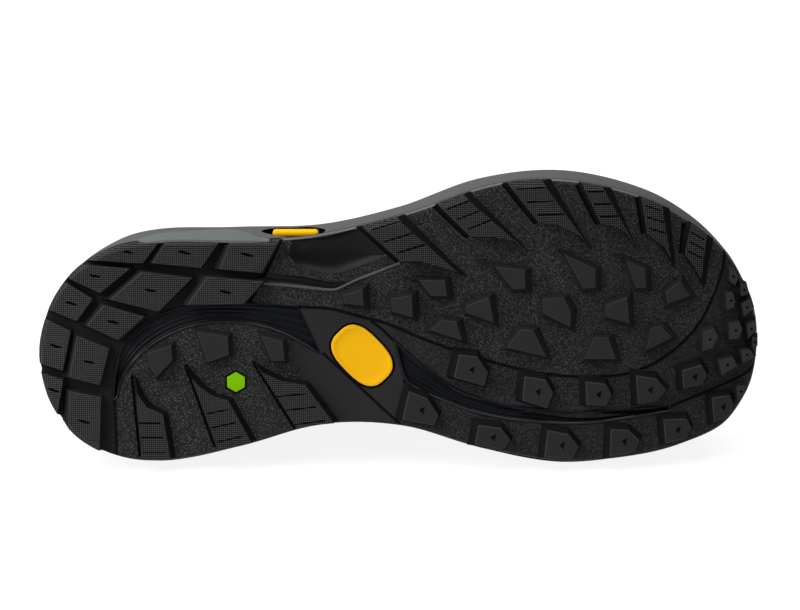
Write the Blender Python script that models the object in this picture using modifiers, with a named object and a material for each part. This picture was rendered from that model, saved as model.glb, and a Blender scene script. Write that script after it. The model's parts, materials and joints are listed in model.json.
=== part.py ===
"""Trail shoe: a right shoe that lies on its medial side, with its sole towards -Y and its toe towards +X."""

import math

import bmesh
import bpy
import numpy as np

# Sizes are millimetres in the upright shoe's own frame: x runs from heel to toe, y towards the medial side
# and z up from the plane of the lug tops. Turns are degrees, from +x towards +y.
MM = 0.001
LENGTH = 298.6
GAP = 0.3
SAMPLES_PER_ROW = 2

# Edge of the outsole, a row for each section.
OUTLINE_ROWS = (
    # x, lateral y, medial y
    (0.0, 5.0, 5.0),
    (3.0, -10.0, 22.0),
    (8.0, -20.4, 31.4),
    (17.0, -30.9, 41.0),
    (33.0, -39.7, 48.6),
    (50.0, -42.2, 50.4),
    (83.0, -42.2, 44.4),
    (117.0, -42.2, 35.4),
    (150.0, -49.6, 35.8),
    (183.0, -62.4, 44.6),
    (217.0, -66.2, 50.4),
    (250.0, -59.2, 48.2),
    (267.0, -50.6, 44.2),
    (284.0, -36.8, 37.0),
    (292.0, -24.0, 27.6),
    (296.5, -14.0, 18.0),
    (LENGTH, 1.0, 1.0),
)

# The outsole stands out beyond that line along the lateral side of arch and ball.
FLARE_ROWS = (
    # x, offset
    (88.0, 0.0),
    (105.0, 1.2),
    (123.0, 2.5),
    (148.0, 3.0),
    (176.0, 1.5),
    (196.0, 1.7),
    (218.0, 0.8),
    (245.0, 0.3),
    (262.0, 0.0),
)

# Sole, seen from the side.
LUG_DEPTH = 4.5
PLATE = 3.2
PLATE_CURL = 1.6
PLATE_CURL_SHARE = 0.75
PLATE_TOP_ROUND = 0.6
PLATE_COLUMNS = 6
FOAM_COLUMNS = 4
LUG_ROOT = 1.0
LUG_DRAFT = 0.7
SMALL_LUG_DRAFT = 1.9
TOE_BREAK = 214.0
TOE_SPRING = 15.0
HEEL_BREAK = 30.0
HEEL_BEVEL = 5.0
ARCH_X = 128.0
ARCH_SPAN = 30.0
ARCH_RISE = 2.0

MIDSOLE_TOP_ROWS = (
    # x, z
    (0.0, 36.0),
    (35.0, 33.0),
    (110.0, 31.5),
    (200.0, 27.5),
    (250.0, 28.5),
    (280.0, 32.5),
    (300.0, 37.5),
)

# Side wall of the midsole: how far it stands out from the outline at a share of its height.
WALL_ROWS = (
    # share of height, offset
    (0.00, -0.6),
    (0.10, 0.9),
    (0.38, 2.2),
    (0.44, 1.0),
    (0.52, 1.0),
    (0.58, 1.9),
    (0.86, 0.8),
    (1.00, -2.0),
)
# The wall draws in behind the outsole round the heel and the toe. Along the arch it swells on the lateral side
# and stays behind the outsole on the medial side.
LATERAL_DRAW_ROWS = (
    # x, offset added
    (0.0, -3.4),
    (14.0, -3.3),
    (30.0, -2.4),
    (45.0, -0.6),
    (75.0, 0.3),
    (108.0, 1.5),
    (145.0, 1.9),
    (180.0, 1.1),
    (215.0, 0.6),
    (243.0, -0.6),
    (262.0, -2.1),
    (280.0, -3.2),
    (300.0, -3.4),
)
MEDIAL_DRAW_ROWS = (
    # x, offset added
    (0.0, -3.4),
    (14.0, -3.4),
    (30.0, -2.7),
    (46.0, -1.0),
    (60.0, -0.8),
    (90.0, -1.4),
    (125.0, -1.8),
    (160.0, -1.3),
    (185.0, -0.3),
    (203.0, 0.2),
    (217.0, 0.2),
    (230.0, -0.3),
    (243.0, -1.0),
    (262.0, -2.5),
    (280.0, -3.3),
    (300.0, -3.4),
)

# Upper: foot of its wall inside the outline, its crest line and the line of its collar.
WALL = 2.0
UPPER_INSET_ROWS = (
    # x, inset
    (0.0, 5.6),
    (20.0, 5.5),
    (50.0, 5.0),
    (120.0, 4.0),
    (215.0, 4.0),
    (262.0, 4.6),
    (282.0, 5.4),
    (300.0, 5.6),
)
CREST_ROWS = (
    # x, z
    (45.0, 132.0),
    (80.0, 130.0),
    (100.0, 123.0),
    (117.0, 114.0),
    (150.0, 97.5),
    (195.0, 80.0),
    (225.0, 72.0),
    (250.0, 67.0),
    (268.0, 62.0),
    (283.0, 57.0),
)
COLLAR_ROWS = (
    # x, z
    (-10.0, 108.5),
    (10.0, 108.5),
    (22.0, 106.0),
    (38.0, 97.5),
    (58.0, 91.5),
    (78.0, 94.0),
    (96.0, 103.0),
    (110.0, 117.0),
    (124.0, 140.0),
)
CREST_BACK_X = 100.0
CREST_BACK_SHARE = 0.55
CREST_FRONT_X = 262.0
CREST_FRONT_SHARE = 0.55
CREST_MEDIAL_SHIFT = 3.0
ROUNDNESS_ROWS = (
    # x, plan power, height power
    (0.0, 0.34, 1.00),
    (45.0, 0.62, 1.00),
    (100.0, 0.72, 0.95),
    (160.0, 0.70, 0.95),
    (220.0, 0.62, 0.85),
    (300.0, 0.55, 0.80),
)
UPPER_STEPS = 9
# The heel counter swells low down, draws in at the tendon and opens again at the collar.
HEEL_CURVE_ROWS = (
    # z, shift towards the toe
    (34.0, 0.0),
    (54.0, -1.6),
    (84.0, 2.6),
    (108.0, -0.6),
)
HEEL_CURVE_END_X = 46.0

# Throat slot between the two rows of eyelets, and the tongue and lace over it.
THROAT_FRONT_X = 196.0
THROAT_BACK_X = 84.0
THROAT_FRONT_WIDTH = 20.0
THROAT_BACK_WIDTH = 40.0
THROAT_LOW = 58.0
THROAT_ROUND_SAMPLES = 9
CUT_TOP = 190.0
CUT_REACH = 90.0
COLLAR_SAMPLES = 24
TONGUE_FRONT_X = 214.0
TONGUE_BACK_X = 97.0
TONGUE_HALF_SPAN = 0.40
TONGUE_THICKNESS = 3.0
TONGUE_SECTIONS = 14
TONGUE_POINTS = 9
LACE_RADIUS = 1.5
LACE_CLEARANCE = 1.6
LACE_SAMPLES = 4
LACE_STATION_STEP = 0.2
LACE_SPAN_STEP = 0.02
EYELET_PAIRS = 6
EYELET_FRONT_X = 192.0
EYELET_BACK_X = 122.0
EYELET_FRONT_SPAN = 0.24
EYELET_BACK_SPAN = 0.36

INSOLE_GAP = 0.6
INSOLE_THICKNESS = 3.5
INSOLE_SIDE_SHARE = 0.7

# Heel blocks: two rows of slanted blocks round the lateral and rear edge.
HEEL_BLOCK_ROWS = (
    # x, y, along, across, turn, skew
    (84.6, -36.4, 21.0, 12.0, -1.0, -5.8),
    (59.6, -36.4, 19.2, 10.4, 3.0, -4.8),
    (36.8, -35.6, 19.4, 6.6, -4.0, -5.8),
    (22.9, -25.4, 14.8, 8.2, 14.0, -5.1),
    (14.4, -13.4, 12.2, 11.4, 26.0, -1.7),
    (8.4, 2.0, 10.0, 14.2, 19.0, 2.3),
    (8.8, 21.6, 8.6, 10.0, 29.0, 6.0),
    (77.8, -20.8, 23.0, 9.8, 0.0, -8.6),
    (45.0, -20.6, 20.2, 12.4, 9.0, -6.4),
    (31.0, -7.2, 13.8, 12.0, 20.0, -5.0),
    (21.8, 8.4, 11.8, 16.4, 17.0, 2.9),
    (20.6, 29.6, 11.6, 13.4, 31.0, 7.0),
)

# Fins that run in from the edge: root on the edge, the corner nearer toe (1) or heel (-1) runs on to a tip.
FIN_SHOULDER = 0.58
FIN_EDGE_INSET = 1.0
FIN_ROWS = (
    # x, y, width, reach, heading, tip corner
    (141.6, -50.2, 15.3, 36.0, 41.7, 1),
    (171.0, -59.2, 13.4, 35.5, 41.0, 1),
    (201.6, -66.0, 15.5, 36.0, 54.0, 1),
    (229.7, -65.0, 11.0, 30.6, 60.6, 1),
    (255.6, -57.2, 9.0, 22.5, 79.0, 1),
    (275.0, -46.0, 8.8, 19.6, 93.0, 1),
    (49.0, 50.0, 13.0, 32.0, -95.8, -1),
    (81.0, 44.8, 14.2, 36.0, -110.7, -1),
    (115.3, 36.6, 14.8, 34.5, -123.3, -1),
)

# Corners of each kind of small lug, as shares of its length and width.
LUG_SHAPES = {
    "cone": ((-0.5, -0.22), (0.38, -0.5), (0.5, 0.5), (-0.12, 0.46)),
    "wedge": ((-0.5, 0.30), (-0.18, -0.5), (0.26, -0.5), (0.5, 0.5)),
    "arrow": ((-0.5, 0.32), (-0.40, -0.5), (0.18, -0.38), (0.5, 0.04), (0.34, 0.5)),
    "edge": ((-0.5, 0.5), (-0.36, -0.42), (0.10, -0.5), (0.5, 0.02), (0.30, 0.5)),
    "toe": ((-0.5, 0.4), (-0.42, -0.5), (0.5, -0.36), (0.42, 0.5)),
}
SMALL_LUG_ROWS = (
    # kind, x, y, length, width, turn
    ("cone", 130.5, -18.4, 9.0, 7.0, 0.0),
    ("cone", 150.5, -15.2, 8.2, 7.0, -5.0),
    ("cone", 163.6, -20.8, 9.6, 6.2, 12.0),
    ("cone", 183.0, -13.6, 10.6, 8.6, -4.0),
    ("cone", 196.8, -27.2, 12.4, 8.4, 22.0),
    ("cone", 215.0, -13.6, 11.4, 10.4, 8.0),
    ("cone", 226.8, -28.6, 13.0, 9.4, 40.0),
    ("cone", 249.4, -28.0, 11.4, 8.4, 42.0),
    ("cone", 241.0, -13.0, 9.4, 9.0, 4.0),
    ("cone", 265.6, -19.7, 10.0, 7.4, -24.0),
    ("wedge", 170.0, -5.2, 11.4, 6.8, 14.0),
    ("wedge", 202.6, 0.2, 13.4, 10.0, 8.0),
    ("wedge", 234.3, 3.2, 11.6, 8.8, 0.0),
    ("wedge", 258.2, -1.4, 10.4, 8.6, -24.0),
    ("wedge", 50.2, 7.4, 10.0, 10.4, -30.0),
    ("cone", 73.0, 2.2, 12.6, 10.4, 10.0),
    ("cone", 98.8, 2.4, 8.6, 8.4, 14.0),
    ("arrow", 179.4, 13.2, 12.2, 11.0, 18.0),
    ("arrow", 207.2, 20.4, 12.6, 11.4, 12.0),
    ("arrow", 232.7, 21.4, 12.4, 11.2, 3.0),
    ("arrow", 255.2, 19.6, 11.8, 10.6, -8.0),
    ("arrow", 273.0, 15.0, 10.6, 9.6, -16.0),
    ("arrow", 284.8, 7.6, 7.4, 7.0, -22.0),
    ("edge", 158.6, 30.4, 13.6, 9.4, 22.0),
    ("edge", 187.6, 39.2, 14.4, 10.0, 16.0),
    ("edge", 217.2, 43.4, 14.6, 10.2, 4.0),
    ("edge", 244.4, 42.0, 13.4, 9.8, -7.0),
    ("edge", 266.2, 36.4, 12.4, 9.4, -20.0),
    ("edge", 281.6, 27.4, 10.6, 8.6, -34.0),
    ("edge", 290.6, 17.4, 7.4, 6.2, -50.0),
    ("toe", 284.0, -27.4, 7.0, 6.8, 56.0),
    ("toe", 280.6, -15.2, 6.4, 6.2, 66.0),
    ("toe", 275.6, -1.0, 6.8, 6.6, 60.0),
    ("toe", 286.8, -3.6, 6.6, 6.4, 76.0),
    ("toe", 291.6, -14.0, 5.6, 5.4, 66.0),
)
WAIST_BAND_CORNERS = ((109.6, 9.6), (118.4, 5.6), (146.0, 32.8), (128.0, 33.2))
WAIST_BAND_DEPTH = 1.3

# Cutters stand this far out of the surface that they cut.
CUT_CLEARANCE = 1.0

# Strips of the midsole's colour that show in two channels of the outsole.
CHANNEL_DEPTH = 1.8
CHANNEL_RECESS = 0.3
HEEL_CHANNEL_ROWS = (
    # x, y, width
    (31.6, 21.0, 2.0),
    (34.0, 11.0, 4.6),
    (40.0, 1.8, 6.4),
    (49.6, -5.6, 7.8),
    (61.7, -10.2, 7.8),
    (76.7, -11.4, 7.4),
    (90.5, -10.8, 8.0),
    (104.2, -7.6, 9.6),
    (112.8, -1.6, 7.0),
    (116.6, 3.0, 2.4),
)
FOREFOOT_CHANNEL_ROWS = (
    # x, y, width
    (148.6, 2.0, 2.0),
    (155.1, 11.2, 7.4),
    (167.6, 20.6, 7.0),
    (186.8, 27.4, 6.2),
    (208.5, 30.9, 5.2),
    (226.8, 31.9, 4.4),
    (246.0, 30.5, 3.4),
    (261.9, 28.0, 2.0),
)
CHANNEL_SAMPLES = 30

# Plain insets.
BADGE_CENTRE = (133.8, 5.6)
BADGE_LENGTH = 27.0
BADGE_WIDTH = 17.5
BADGE_TURN = 45.0
BADGE_POWER = 2.6
BADGE_DEPTH = 1.4
BADGE_PROUD = 0.5
BADGE_SAMPLES = 14
DOT_CENTRE = (81.7, 16.8)
DOT_RADIUS = 4.2
DOT_DEPTH = 0.9
DOT_PROUD = 0.4
DOT_SIDES = 6
SIDE_BAR_CENTRE = (106.3, -44.1, 13.2)
SIDE_BAR_SIZE = (19.0, 3.0, 5.0)
SIDE_BAR_ROUND = 1.2
SIDE_BAR_SEGMENTS = 3

# Search for the lean at which the lying shoe rests on its sole edge and its upper.
LEAN_MOST = 30.0
LEAN_HALVINGS = 40

RUBBER = ((0.018, 0.018, 0.019), 0.55)
FOAM = ((0.080, 0.082, 0.085), 0.70)
NAVY = ((0.012, 0.015, 0.023), 0.45)
AMBER = ((0.90, 0.43, 0.01), 0.40)
GREEN = ((0.15, 0.48, 0.01), 0.40)
FABRIC = ((0.020, 0.020, 0.021), 0.85)
LINING = ((0.030, 0.030, 0.032), 0.90)
CORD = ((0.025, 0.025, 0.026), 0.80)


def clear_scene():
    for item in list(bpy.data.objects):
        bpy.data.objects.remove(item, do_unlink=True)


def new_collection(name):
    collection = bpy.data.collections.new(name)
    bpy.context.scene.collection.children.link(collection)
    return collection


def hermite(t, start, end, start_slope, end_slope):
    """Cubic between two values with the given slopes, at t from 0 to 1."""
    blend = t * t * (3 - 2 * t)
    return (
        start * (1 - blend)
        + end * blend
        + start_slope * t * (1 - t) ** 2
        - end_slope * t * t * (1 - t)
    )


def smooth(rows, x, column=1):
    """Value at x of a smooth curve through a table's rows, level beyond its ends."""
    xs = np.array([row[0] for row in rows])
    values = np.array([row[column] for row in rows])
    slopes = np.gradient(values, xs)
    x = min(max(x, xs[0]), xs[-1])
    i = min(int(np.searchsorted(xs, x, side="right")) - 1, len(xs) - 2)
    span = xs[i + 1] - xs[i]
    t = (x - xs[i]) / span
    return float(hermite(t, values[i], values[i + 1], slopes[i] * span, slopes[i + 1] * span))


def smooth_path(rows, samples):
    """Points spread along a smooth curve through rows of numbers, by their number and not by length."""
    points = np.array(rows)
    slopes = np.gradient(points, axis=0)
    path = []
    for place in np.linspace(0, len(points) - 1, samples):
        i = min(int(place), len(points) - 2)
        path.append(hermite(place - i, points[i], points[i + 1], slopes[i], slopes[i + 1]))
    return np.array(path)


def outline_loop():
    """Closed curve through the outline's rows: heel tip, lateral side, toe tip, medial side."""
    lateral = [(x, y) for x, y, _ in OUTLINE_ROWS]
    medial = [(x, y) for x, _, y in OUTLINE_ROWS[1:-1]]
    loop = np.array(lateral + medial[::-1])
    padded = np.vstack([loop[-2:], loop, loop[:3]])
    knots = np.cumsum(np.sqrt(np.linalg.norm(np.diff(padded, axis=0, prepend=padded[:1]), axis=1)))
    slopes = np.gradient(padded, knots, axis=0)
    points = []
    for i in range(2, 2 + len(loop)):
        span = knots[i + 1] - knots[i]
        for step in range(SAMPLES_PER_ROW):
            t = step / SAMPLES_PER_ROW
            points.append(hermite(t, padded[i], padded[i + 1], slopes[i] * span, slopes[i + 1] * span))
    return np.array(points)


LOOP = outline_loop()
STATIONS = len(LOOP) // 2
TANGENTS = np.roll(LOOP, -1, axis=0) - np.roll(LOOP, 1, axis=0)
TANGENTS /= np.linalg.norm(TANGENTS, axis=1)[:, None]
NORMALS = np.column_stack([TANGENTS[:, 1], -TANGENTS[:, 0]])
FLARE = np.array([smooth(FLARE_ROWS, x) for x in LOOP[:, 0]]) * np.clip(-NORMALS[:, 1], 0.0, 1.0)


def ring(offset):
    """The outline moved outwards by a distance, or by a distance for each point."""
    return LOOP + NORMALS * np.reshape(offset, (-1, 1))


def spring(x):
    """Height of the lug tops above the floor of the upright shoe: heel bevel and toe spring."""
    toe = max(0.0, (x - TOE_BREAK) / (LENGTH - TOE_BREAK))
    heel = max(0.0, (HEEL_BREAK - x) / HEEL_BREAK)
    return TOE_SPRING * toe**2 + HEEL_BEVEL * heel**2


def plate_z(x):
    """Height of the ground between the lugs."""
    arch = math.exp(-(((x - ARCH_X) / ARCH_SPAN) ** 2))
    return spring(x) + LUG_DEPTH + ARCH_RISE * arch


def midsole_top(x):
    return smooth(MIDSOLE_TOP_ROWS, x)


def finish_material(name, finish):
    colour, roughness = finish
    material = bpy.data.materials.new(name)
    material.use_nodes = True
    shader = material.node_tree.nodes["Principled BSDF"]
    shader.inputs["Base Color"].default_value = (*colour, 1.0)
    shader.inputs["Roughness"].default_value = roughness
    shader.inputs["Metallic"].default_value = 0.0
    return material


def add_object(name, mesh, collection, finish=None):
    """Object in the shoe's frame; without a finish it is a tool that cuts or joins another."""
    item = bpy.data.objects.new(name, mesh)
    collection.objects.link(item)
    item.parent = LYING
    if finish:
        mesh.materials.append(finish_material(name, finish))
        mesh.shade_smooth()
        mesh.set_sharp_from_angle(angle=math.radians(35))
    else:
        item.hide_render = True
        item.display_type = "WIRE"
    return item


def mesh_from(name, points, faces):
    """Mesh in metres from points in millimetres, with coincident points merged and faces outwards."""
    shape = bmesh.new()
    corners = [shape.verts.new([MM * value for value in point]) for point in points]
    for face in faces:
        shape.faces.new([corners[index] for index in face])
    bmesh.ops.remove_doubles(shape, verts=shape.verts, dist=0.00001)
    bmesh.ops.dissolve_degenerate(shape, edges=shape.edges, dist=0.000001)
    bmesh.ops.recalc_face_normals(shape, faces=shape.faces)
    mesh = bpy.data.meshes.new(name)
    shape.to_mesh(mesh)
    shape.free()
    return mesh


def boolean(item, tool, operation):
    modifier = item.modifiers.new(tool.name, "BOOLEAN")
    modifier.operation = operation
    modifier.solver = "EXACT"
    modifier.object = tool


def layered_mesh(name, layers, columns):
    """Closed body of rings round the shoe, from low to high, each an offset and a height along x."""
    points = []
    faces = []
    count = 2 * STATIONS
    rings = [(ring(offset), height) for offset, height in layers]
    for plan, height in rings:
        points += [(x, y, height(x)) for x, y in plan]
    for layer in range(len(layers) - 1):
        for i in range(count):
            j = (i + 1) % count
            low = layer * count
            faces.append((low + i, low + j, low + count + j, low + count + i))
    for plan, height, base in ((*rings[0], 0), (*rings[-1], (len(rings) - 1) * count)):
        rows = [[base]]
        for i in range(1, STATIONS):
            across = np.linspace(plan[i], plan[-i], columns + 1)[1:-1]
            inner = range(len(points), len(points) + len(across))
            points += [(x, y, height(x)) for x, y in across]
            rows.append([base + i, *inner, base + count - i])
        rows.append([base + STATIONS])
        faces += [(rows[0][0], a, b) for a, b in zip(rows[1], rows[1][1:])]
        faces += [(rows[-1][0], b, a) for a, b in zip(rows[-2], rows[-2][1:])]
        for row, following in zip(rows[1:-2], rows[2:-1]):
            for k in range(columns):
                faces.append((row[k], following[k], following[k + 1], row[k + 1]))
    return mesh_from(name, points, faces)


def band_mesh(name, path, widths, low, high):
    """Strip along a path in plan, between two heights along x."""
    directions = np.gradient(path, axis=0)
    directions /= np.linalg.norm(directions, axis=1)[:, None]
    sides = np.column_stack([-directions[:, 1], directions[:, 0]])
    points = []
    faces = [(0, 1, 2, 3)]
    for place, side, width in zip(path, sides, widths):
        left = place + side * width / 2
        right = place - side * width / 2
        points += [(*left, low(left[0])), (*right, low(right[0]))]
        points += [(*right, high(right[0])), (*left, high(left[0]))]
    for i in range(len(path) - 1):
        for k in range(4):
            m = (k + 1) % 4
            faces.append((4 * i + k, 4 * i + 4 + k, 4 * i + 4 + m, 4 * i + m))
    last = 4 * (len(path) - 1)
    faces.append((last + 3, last + 2, last + 1, last))
    return mesh_from(name, points, faces)


def drafted(corners, draft):
    """Corners moved away from their middle."""
    corners = np.array(corners)
    out = corners - corners.mean(axis=0)
    return corners + out / np.linalg.norm(out, axis=1)[:, None] * draft


def lug(top, top_z, draft):
    """Points and faces of one lug that tapers from inside the plate to its top."""
    foot = drafted(top, draft)
    count = len(foot)
    points = [(x, y, plate_z(x) + LUG_ROOT) for x, y in foot]
    points += [(x, y, top_z(x)) for x, y in top]
    faces = [tuple(range(count)), tuple(range(2 * count - 1, count - 1, -1))]
    faces += [(i, (i + 1) % count, count + (i + 1) % count, count + i) for i in range(count)]
    return points, faces


def turned(corners, x, y, turn):
    angle = math.radians(turn)
    spin = np.array([[math.cos(angle), math.sin(angle)], [-math.sin(angle), math.cos(angle)]])
    return np.array(corners) @ spin + (x, y)


def block_corners(x, y, along, across, turn, skew):
    corners = []
    for u, v in ((-1, -1), (1, -1), (1, 1), (-1, 1)):
        corners.append(((u * along + v * skew) / 2, v * across / 2))
    return turned(corners, x, y, turn)


def fin_corners(x, y, width, reach, heading, tip_corner):
    """A fin's root follows the outline; one side runs to the tip and the other stops at a shoulder."""
    nearest = int(np.argmin(np.linalg.norm(LOOP - (x, y), axis=1)))
    forward = TANGENTS[nearest] * np.sign(TANGENTS[nearest][0])
    middle = LOOP[nearest] + forward * np.dot(forward, (x, y) - LOOP[nearest])
    middle = middle + NORMALS[nearest] * (FLARE[nearest] - FIN_EDGE_INSET)
    run = reach * np.array([math.cos(math.radians(heading)), math.sin(math.radians(heading))])
    lead = middle + forward * tip_corner * width / 2
    trail = middle - forward * tip_corner * width / 2
    return [trail, lead, lead + run, trail + run * FIN_SHOULDER]


def tread_mesh():
    """Every lug of the tread and the low band across the waist, as closed bodies in one mesh."""
    bodies = [lug(block_corners(*row), spring, LUG_DRAFT) for row in HEEL_BLOCK_ROWS]
    bodies += [lug(fin_corners(*row), spring, LUG_DRAFT) for row in FIN_ROWS]
    for kind, x, y, length, width, turn in SMALL_LUG_ROWS:
        corners = np.array(LUG_SHAPES[kind]) * (length, width)
        bodies.append(lug(turned(corners, x, y, turn), spring, SMALL_LUG_DRAFT))
    bodies.append(lug(WAIST_BAND_CORNERS, lambda x: plate_z(x) - WAIST_BAND_DEPTH, LUG_DRAFT))
    points = []
    faces = []
    for body_points, body_faces in bodies:
        faces += [[len(points) + index for index in face] for face in body_faces]
        points += body_points
    return mesh_from("tread", points, faces)


def make_channel(name, rows, outsole):
    path = smooth_path(rows, CHANNEL_SAMPLES)
    groove = band_mesh(
        name + "_groove",
        path[:, :2],
        path[:, 2] + 2 * GAP,
        lambda x: plate_z(x) - CUT_CLEARANCE,
        lambda x: plate_z(x) + CHANNEL_DEPTH,
    )
    boolean(outsole, add_object(name + "_groove", groove, TOOLS), "DIFFERENCE")
    strip = band_mesh(
        name,
        path[1:-1, :2],
        path[1:-1, 2],
        lambda x: plate_z(x) + CHANNEL_RECESS,
        lambda x: plate_z(x) + CHANNEL_DEPTH - GAP,
    )
    return add_object(name, strip, SHOE, NAVY)


def make_badge(outsole):
    """Amber inset with a rounded outline, set across the waist."""
    turns = np.linspace(0, math.pi, BADGE_SAMPLES)
    along = -np.cos(turns)
    widths = (1 - np.abs(along) ** BADGE_POWER) ** (1 / BADGE_POWER)
    angle = math.radians(BADGE_TURN)
    heading = np.array([math.cos(angle), math.sin(angle)])

    def path(grow):
        return np.array(BADGE_CENTRE) + np.outer(along * (BADGE_LENGTH / 2 + grow), heading)

    def outer(x):
        return plate_z(x) - BADGE_PROUD

    pocket = band_mesh(
        "badge_pocket",
        path(GAP),
        widths * BADGE_WIDTH + 2 * GAP,
        lambda x: plate_z(x) - WAIST_BAND_DEPTH - CUT_CLEARANCE,
        lambda x: plate_z(x) + BADGE_DEPTH,
    )
    boolean(outsole, add_object("badge_pocket", pocket, TOOLS), "DIFFERENCE")
    inset = band_mesh(
        "badge_inlay",
        path(0.0),
        widths * BADGE_WIDTH,
        outer,
        lambda x: plate_z(x) + BADGE_DEPTH - GAP,
    )
    return add_object("badge_inlay", inset, SHOE, AMBER)


def plug_mesh(name, radius, low, high):
    shape = bmesh.new()
    bmesh.ops.create_cone(
        shape,
        cap_ends=True,
        segments=DOT_SIDES,
        radius1=radius * MM,
        radius2=radius * MM,
        depth=(high - low) * MM,
    )
    middle = (*DOT_CENTRE, (low + high) / 2)
    bmesh.ops.translate(shape, verts=shape.verts, vec=[MM * value for value in middle])
    mesh = bpy.data.meshes.new(name)
    shape.to_mesh(mesh)
    shape.free()
    return mesh


def make_dot(outsole):
    ground = plate_z(DOT_CENTRE[0])
    pocket = plug_mesh("dot_pocket", DOT_RADIUS + GAP, ground - CUT_CLEARANCE, ground + DOT_DEPTH)
    boolean(outsole, add_object("dot_pocket", pocket, TOOLS), "DIFFERENCE")
    plug = plug_mesh("dot_inlay", DOT_RADIUS, ground - DOT_PROUD, ground + DOT_DEPTH - GAP)
    return add_object("dot_inlay", plug, SHOE, GREEN)


def bar_mesh(name, grow):
    shape = bmesh.new()
    bmesh.ops.create_cube(shape, size=1.0)
    for corner in shape.verts:
        for axis in range(3):
            size = SIDE_BAR_SIZE[axis] + 2 * grow
            corner.co[axis] = MM * (SIDE_BAR_CENTRE[axis] + corner.co[axis] * size)
    across_wall = [edge for edge in shape.edges if abs(edge.verts[0].co.y - edge.verts[1].co.y) > MM]
    bmesh.ops.bevel(
        shape,
        geom=across_wall,
        offset=SIDE_BAR_ROUND * MM,
        segments=SIDE_BAR_SEGMENTS,
        profile=0.5,
        affect="EDGES",
    )
    mesh = bpy.data.meshes.new(name)
    shape.to_mesh(mesh)
    shape.free()
    return mesh


def make_side_bar(midsole):
    """Amber bar let into the lateral side wall above the arch."""
    pocket = add_object("side_pocket", bar_mesh("side_pocket", GAP), TOOLS)
    boolean(midsole, pocket, "DIFFERENCE")
    return add_object("side_inlay", bar_mesh("side_inlay", 0.0), SHOE, AMBER)


def make_outsole():
    """Rubber plate with a curled edge and all the lugs moulded on it."""
    layers = (
        (FLARE - PLATE_CURL, plate_z),
        (FLARE, lambda x: plate_z(x) + PLATE_CURL * PLATE_CURL_SHARE),
        (FLARE, lambda x: plate_z(x) + PLATE - PLATE_TOP_ROUND / 2),
        (FLARE - PLATE_TOP_ROUND, lambda x: plate_z(x) + PLATE),
    )
    outsole = add_object("outsole", layered_mesh("outsole", layers, PLATE_COLUMNS), SHOE, RUBBER)
    boolean(outsole, add_object("tread", tread_mesh(), TOOLS), "UNION")
    return outsole


def make_midsole():
    """Foam between outsole and upper; its side wall has two bands with a groove between."""

    def level(share):
        def height(x):
            bottom = plate_z(x) + PLATE + GAP
            return bottom + share * (midsole_top(x) - bottom)

        return height

    draw = []
    for x, side in zip(LOOP[:, 0], NORMALS[:, 1]):
        draw.append(smooth(MEDIAL_DRAW_ROWS if side > 0 else LATERAL_DRAW_ROWS, x))
    draw = np.array(draw)
    layers = [(offset + draw, level(share)) for share, offset in WALL_ROWS]
    return add_object("midsole", layered_mesh("midsole", layers, FOAM_COLUMNS), SHOE, FOAM)


def make_insole():
    inset = -np.array([smooth(UPPER_INSET_ROWS, x) + WALL + INSOLE_GAP for x in LOOP[:, 0]])
    chamfer = INSOLE_THICKNESS * (1 - INSOLE_SIDE_SHARE)
    layers = (
        (inset, lambda x: midsole_top(x) + GAP),
        (inset, lambda x: midsole_top(x) + GAP + INSOLE_THICKNESS - chamfer),
        (inset - chamfer, lambda x: midsole_top(x) + GAP + INSOLE_THICKNESS),
    )
    return add_object("insole", layered_mesh("insole", layers, FOAM_COLUMNS), SHOE, LINING)


def foot_points():
    """Foot of the upper's outer face for each point of the outline."""
    inset = np.array([smooth(UPPER_INSET_ROWS, x) for x in LOOP[:, 0]])
    return ring(-inset)


FOOT = foot_points()


def upper_point(station, u):
    """Point of the upper's outer face: u runs from -1, lateral foot, over the crest at 0, to 1, medial."""
    low = min(int(station), STATIONS - 1)
    share = station - low
    count = 2 * STATIONS
    lateral = FOOT[low] * (1 - share) + FOOT[low + 1] * share
    medial = FOOT[-low % count] * (1 - share) + FOOT[-(low + 1) % count] * share
    middle = (lateral + medial) / 2
    crest_x = middle[0]
    if crest_x < CREST_BACK_X:
        crest_x = CREST_BACK_X + (crest_x - CREST_BACK_X) * CREST_BACK_SHARE
    if crest_x > CREST_FRONT_X:
        crest_x = CREST_FRONT_X + (crest_x - CREST_FRONT_X) * CREST_FRONT_SHARE
    crest = np.array([crest_x, middle[1] + CREST_MEDIAL_SHIFT])
    crest_z = smooth(CREST_ROWS, crest_x)
    foot = medial if u > 0 else lateral
    angle = (1 - abs(u)) * math.pi / 2
    near = max(math.cos(angle), 0.0) ** smooth(ROUNDNESS_ROWS, middle[0], 1)
    rise = math.sin(angle) ** smooth(ROUNDNESS_ROWS, middle[0], 2)
    plan = crest + (foot - crest) * near
    foot_z = midsole_top(foot[0]) + GAP
    z = foot_z + (crest_z - foot_z) * rise
    heel_share = max(0.0, 1.0 - plan[0] / HEEL_CURVE_END_X)
    plan[0] += heel_share * smooth(HEEL_CURVE_ROWS, z)
    return np.array([*plan, z])


def station_at(x):
    """Station whose section has its middle at x."""
    middles = [(FOOT[i][0] + FOOT[-i % (2 * STATIONS)][0]) / 2 for i in range(STATIONS + 1)]
    return float(np.interp(x, middles, range(STATIONS + 1)))


def grid_mesh(name, rows):
    """Open surface through rows of points."""
    width = len(rows[0])
    points = [point for row in rows for point in row]
    faces = []
    for i in range(len(rows) - 1):
        for k in range(width - 1):
            a = i * width + k
            faces.append((a, a + width, a + width + 1, a + 1))
    return mesh_from(name, points, faces)


def solidify(item, thickness):
    """Wall of even thickness that grows inwards from the outer face."""
    modifier = item.modifiers.new("wall", "SOLIDIFY")
    modifier.thickness = thickness * MM
    modifier.offset = -1.0
    modifier.use_even_offset = True


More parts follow.
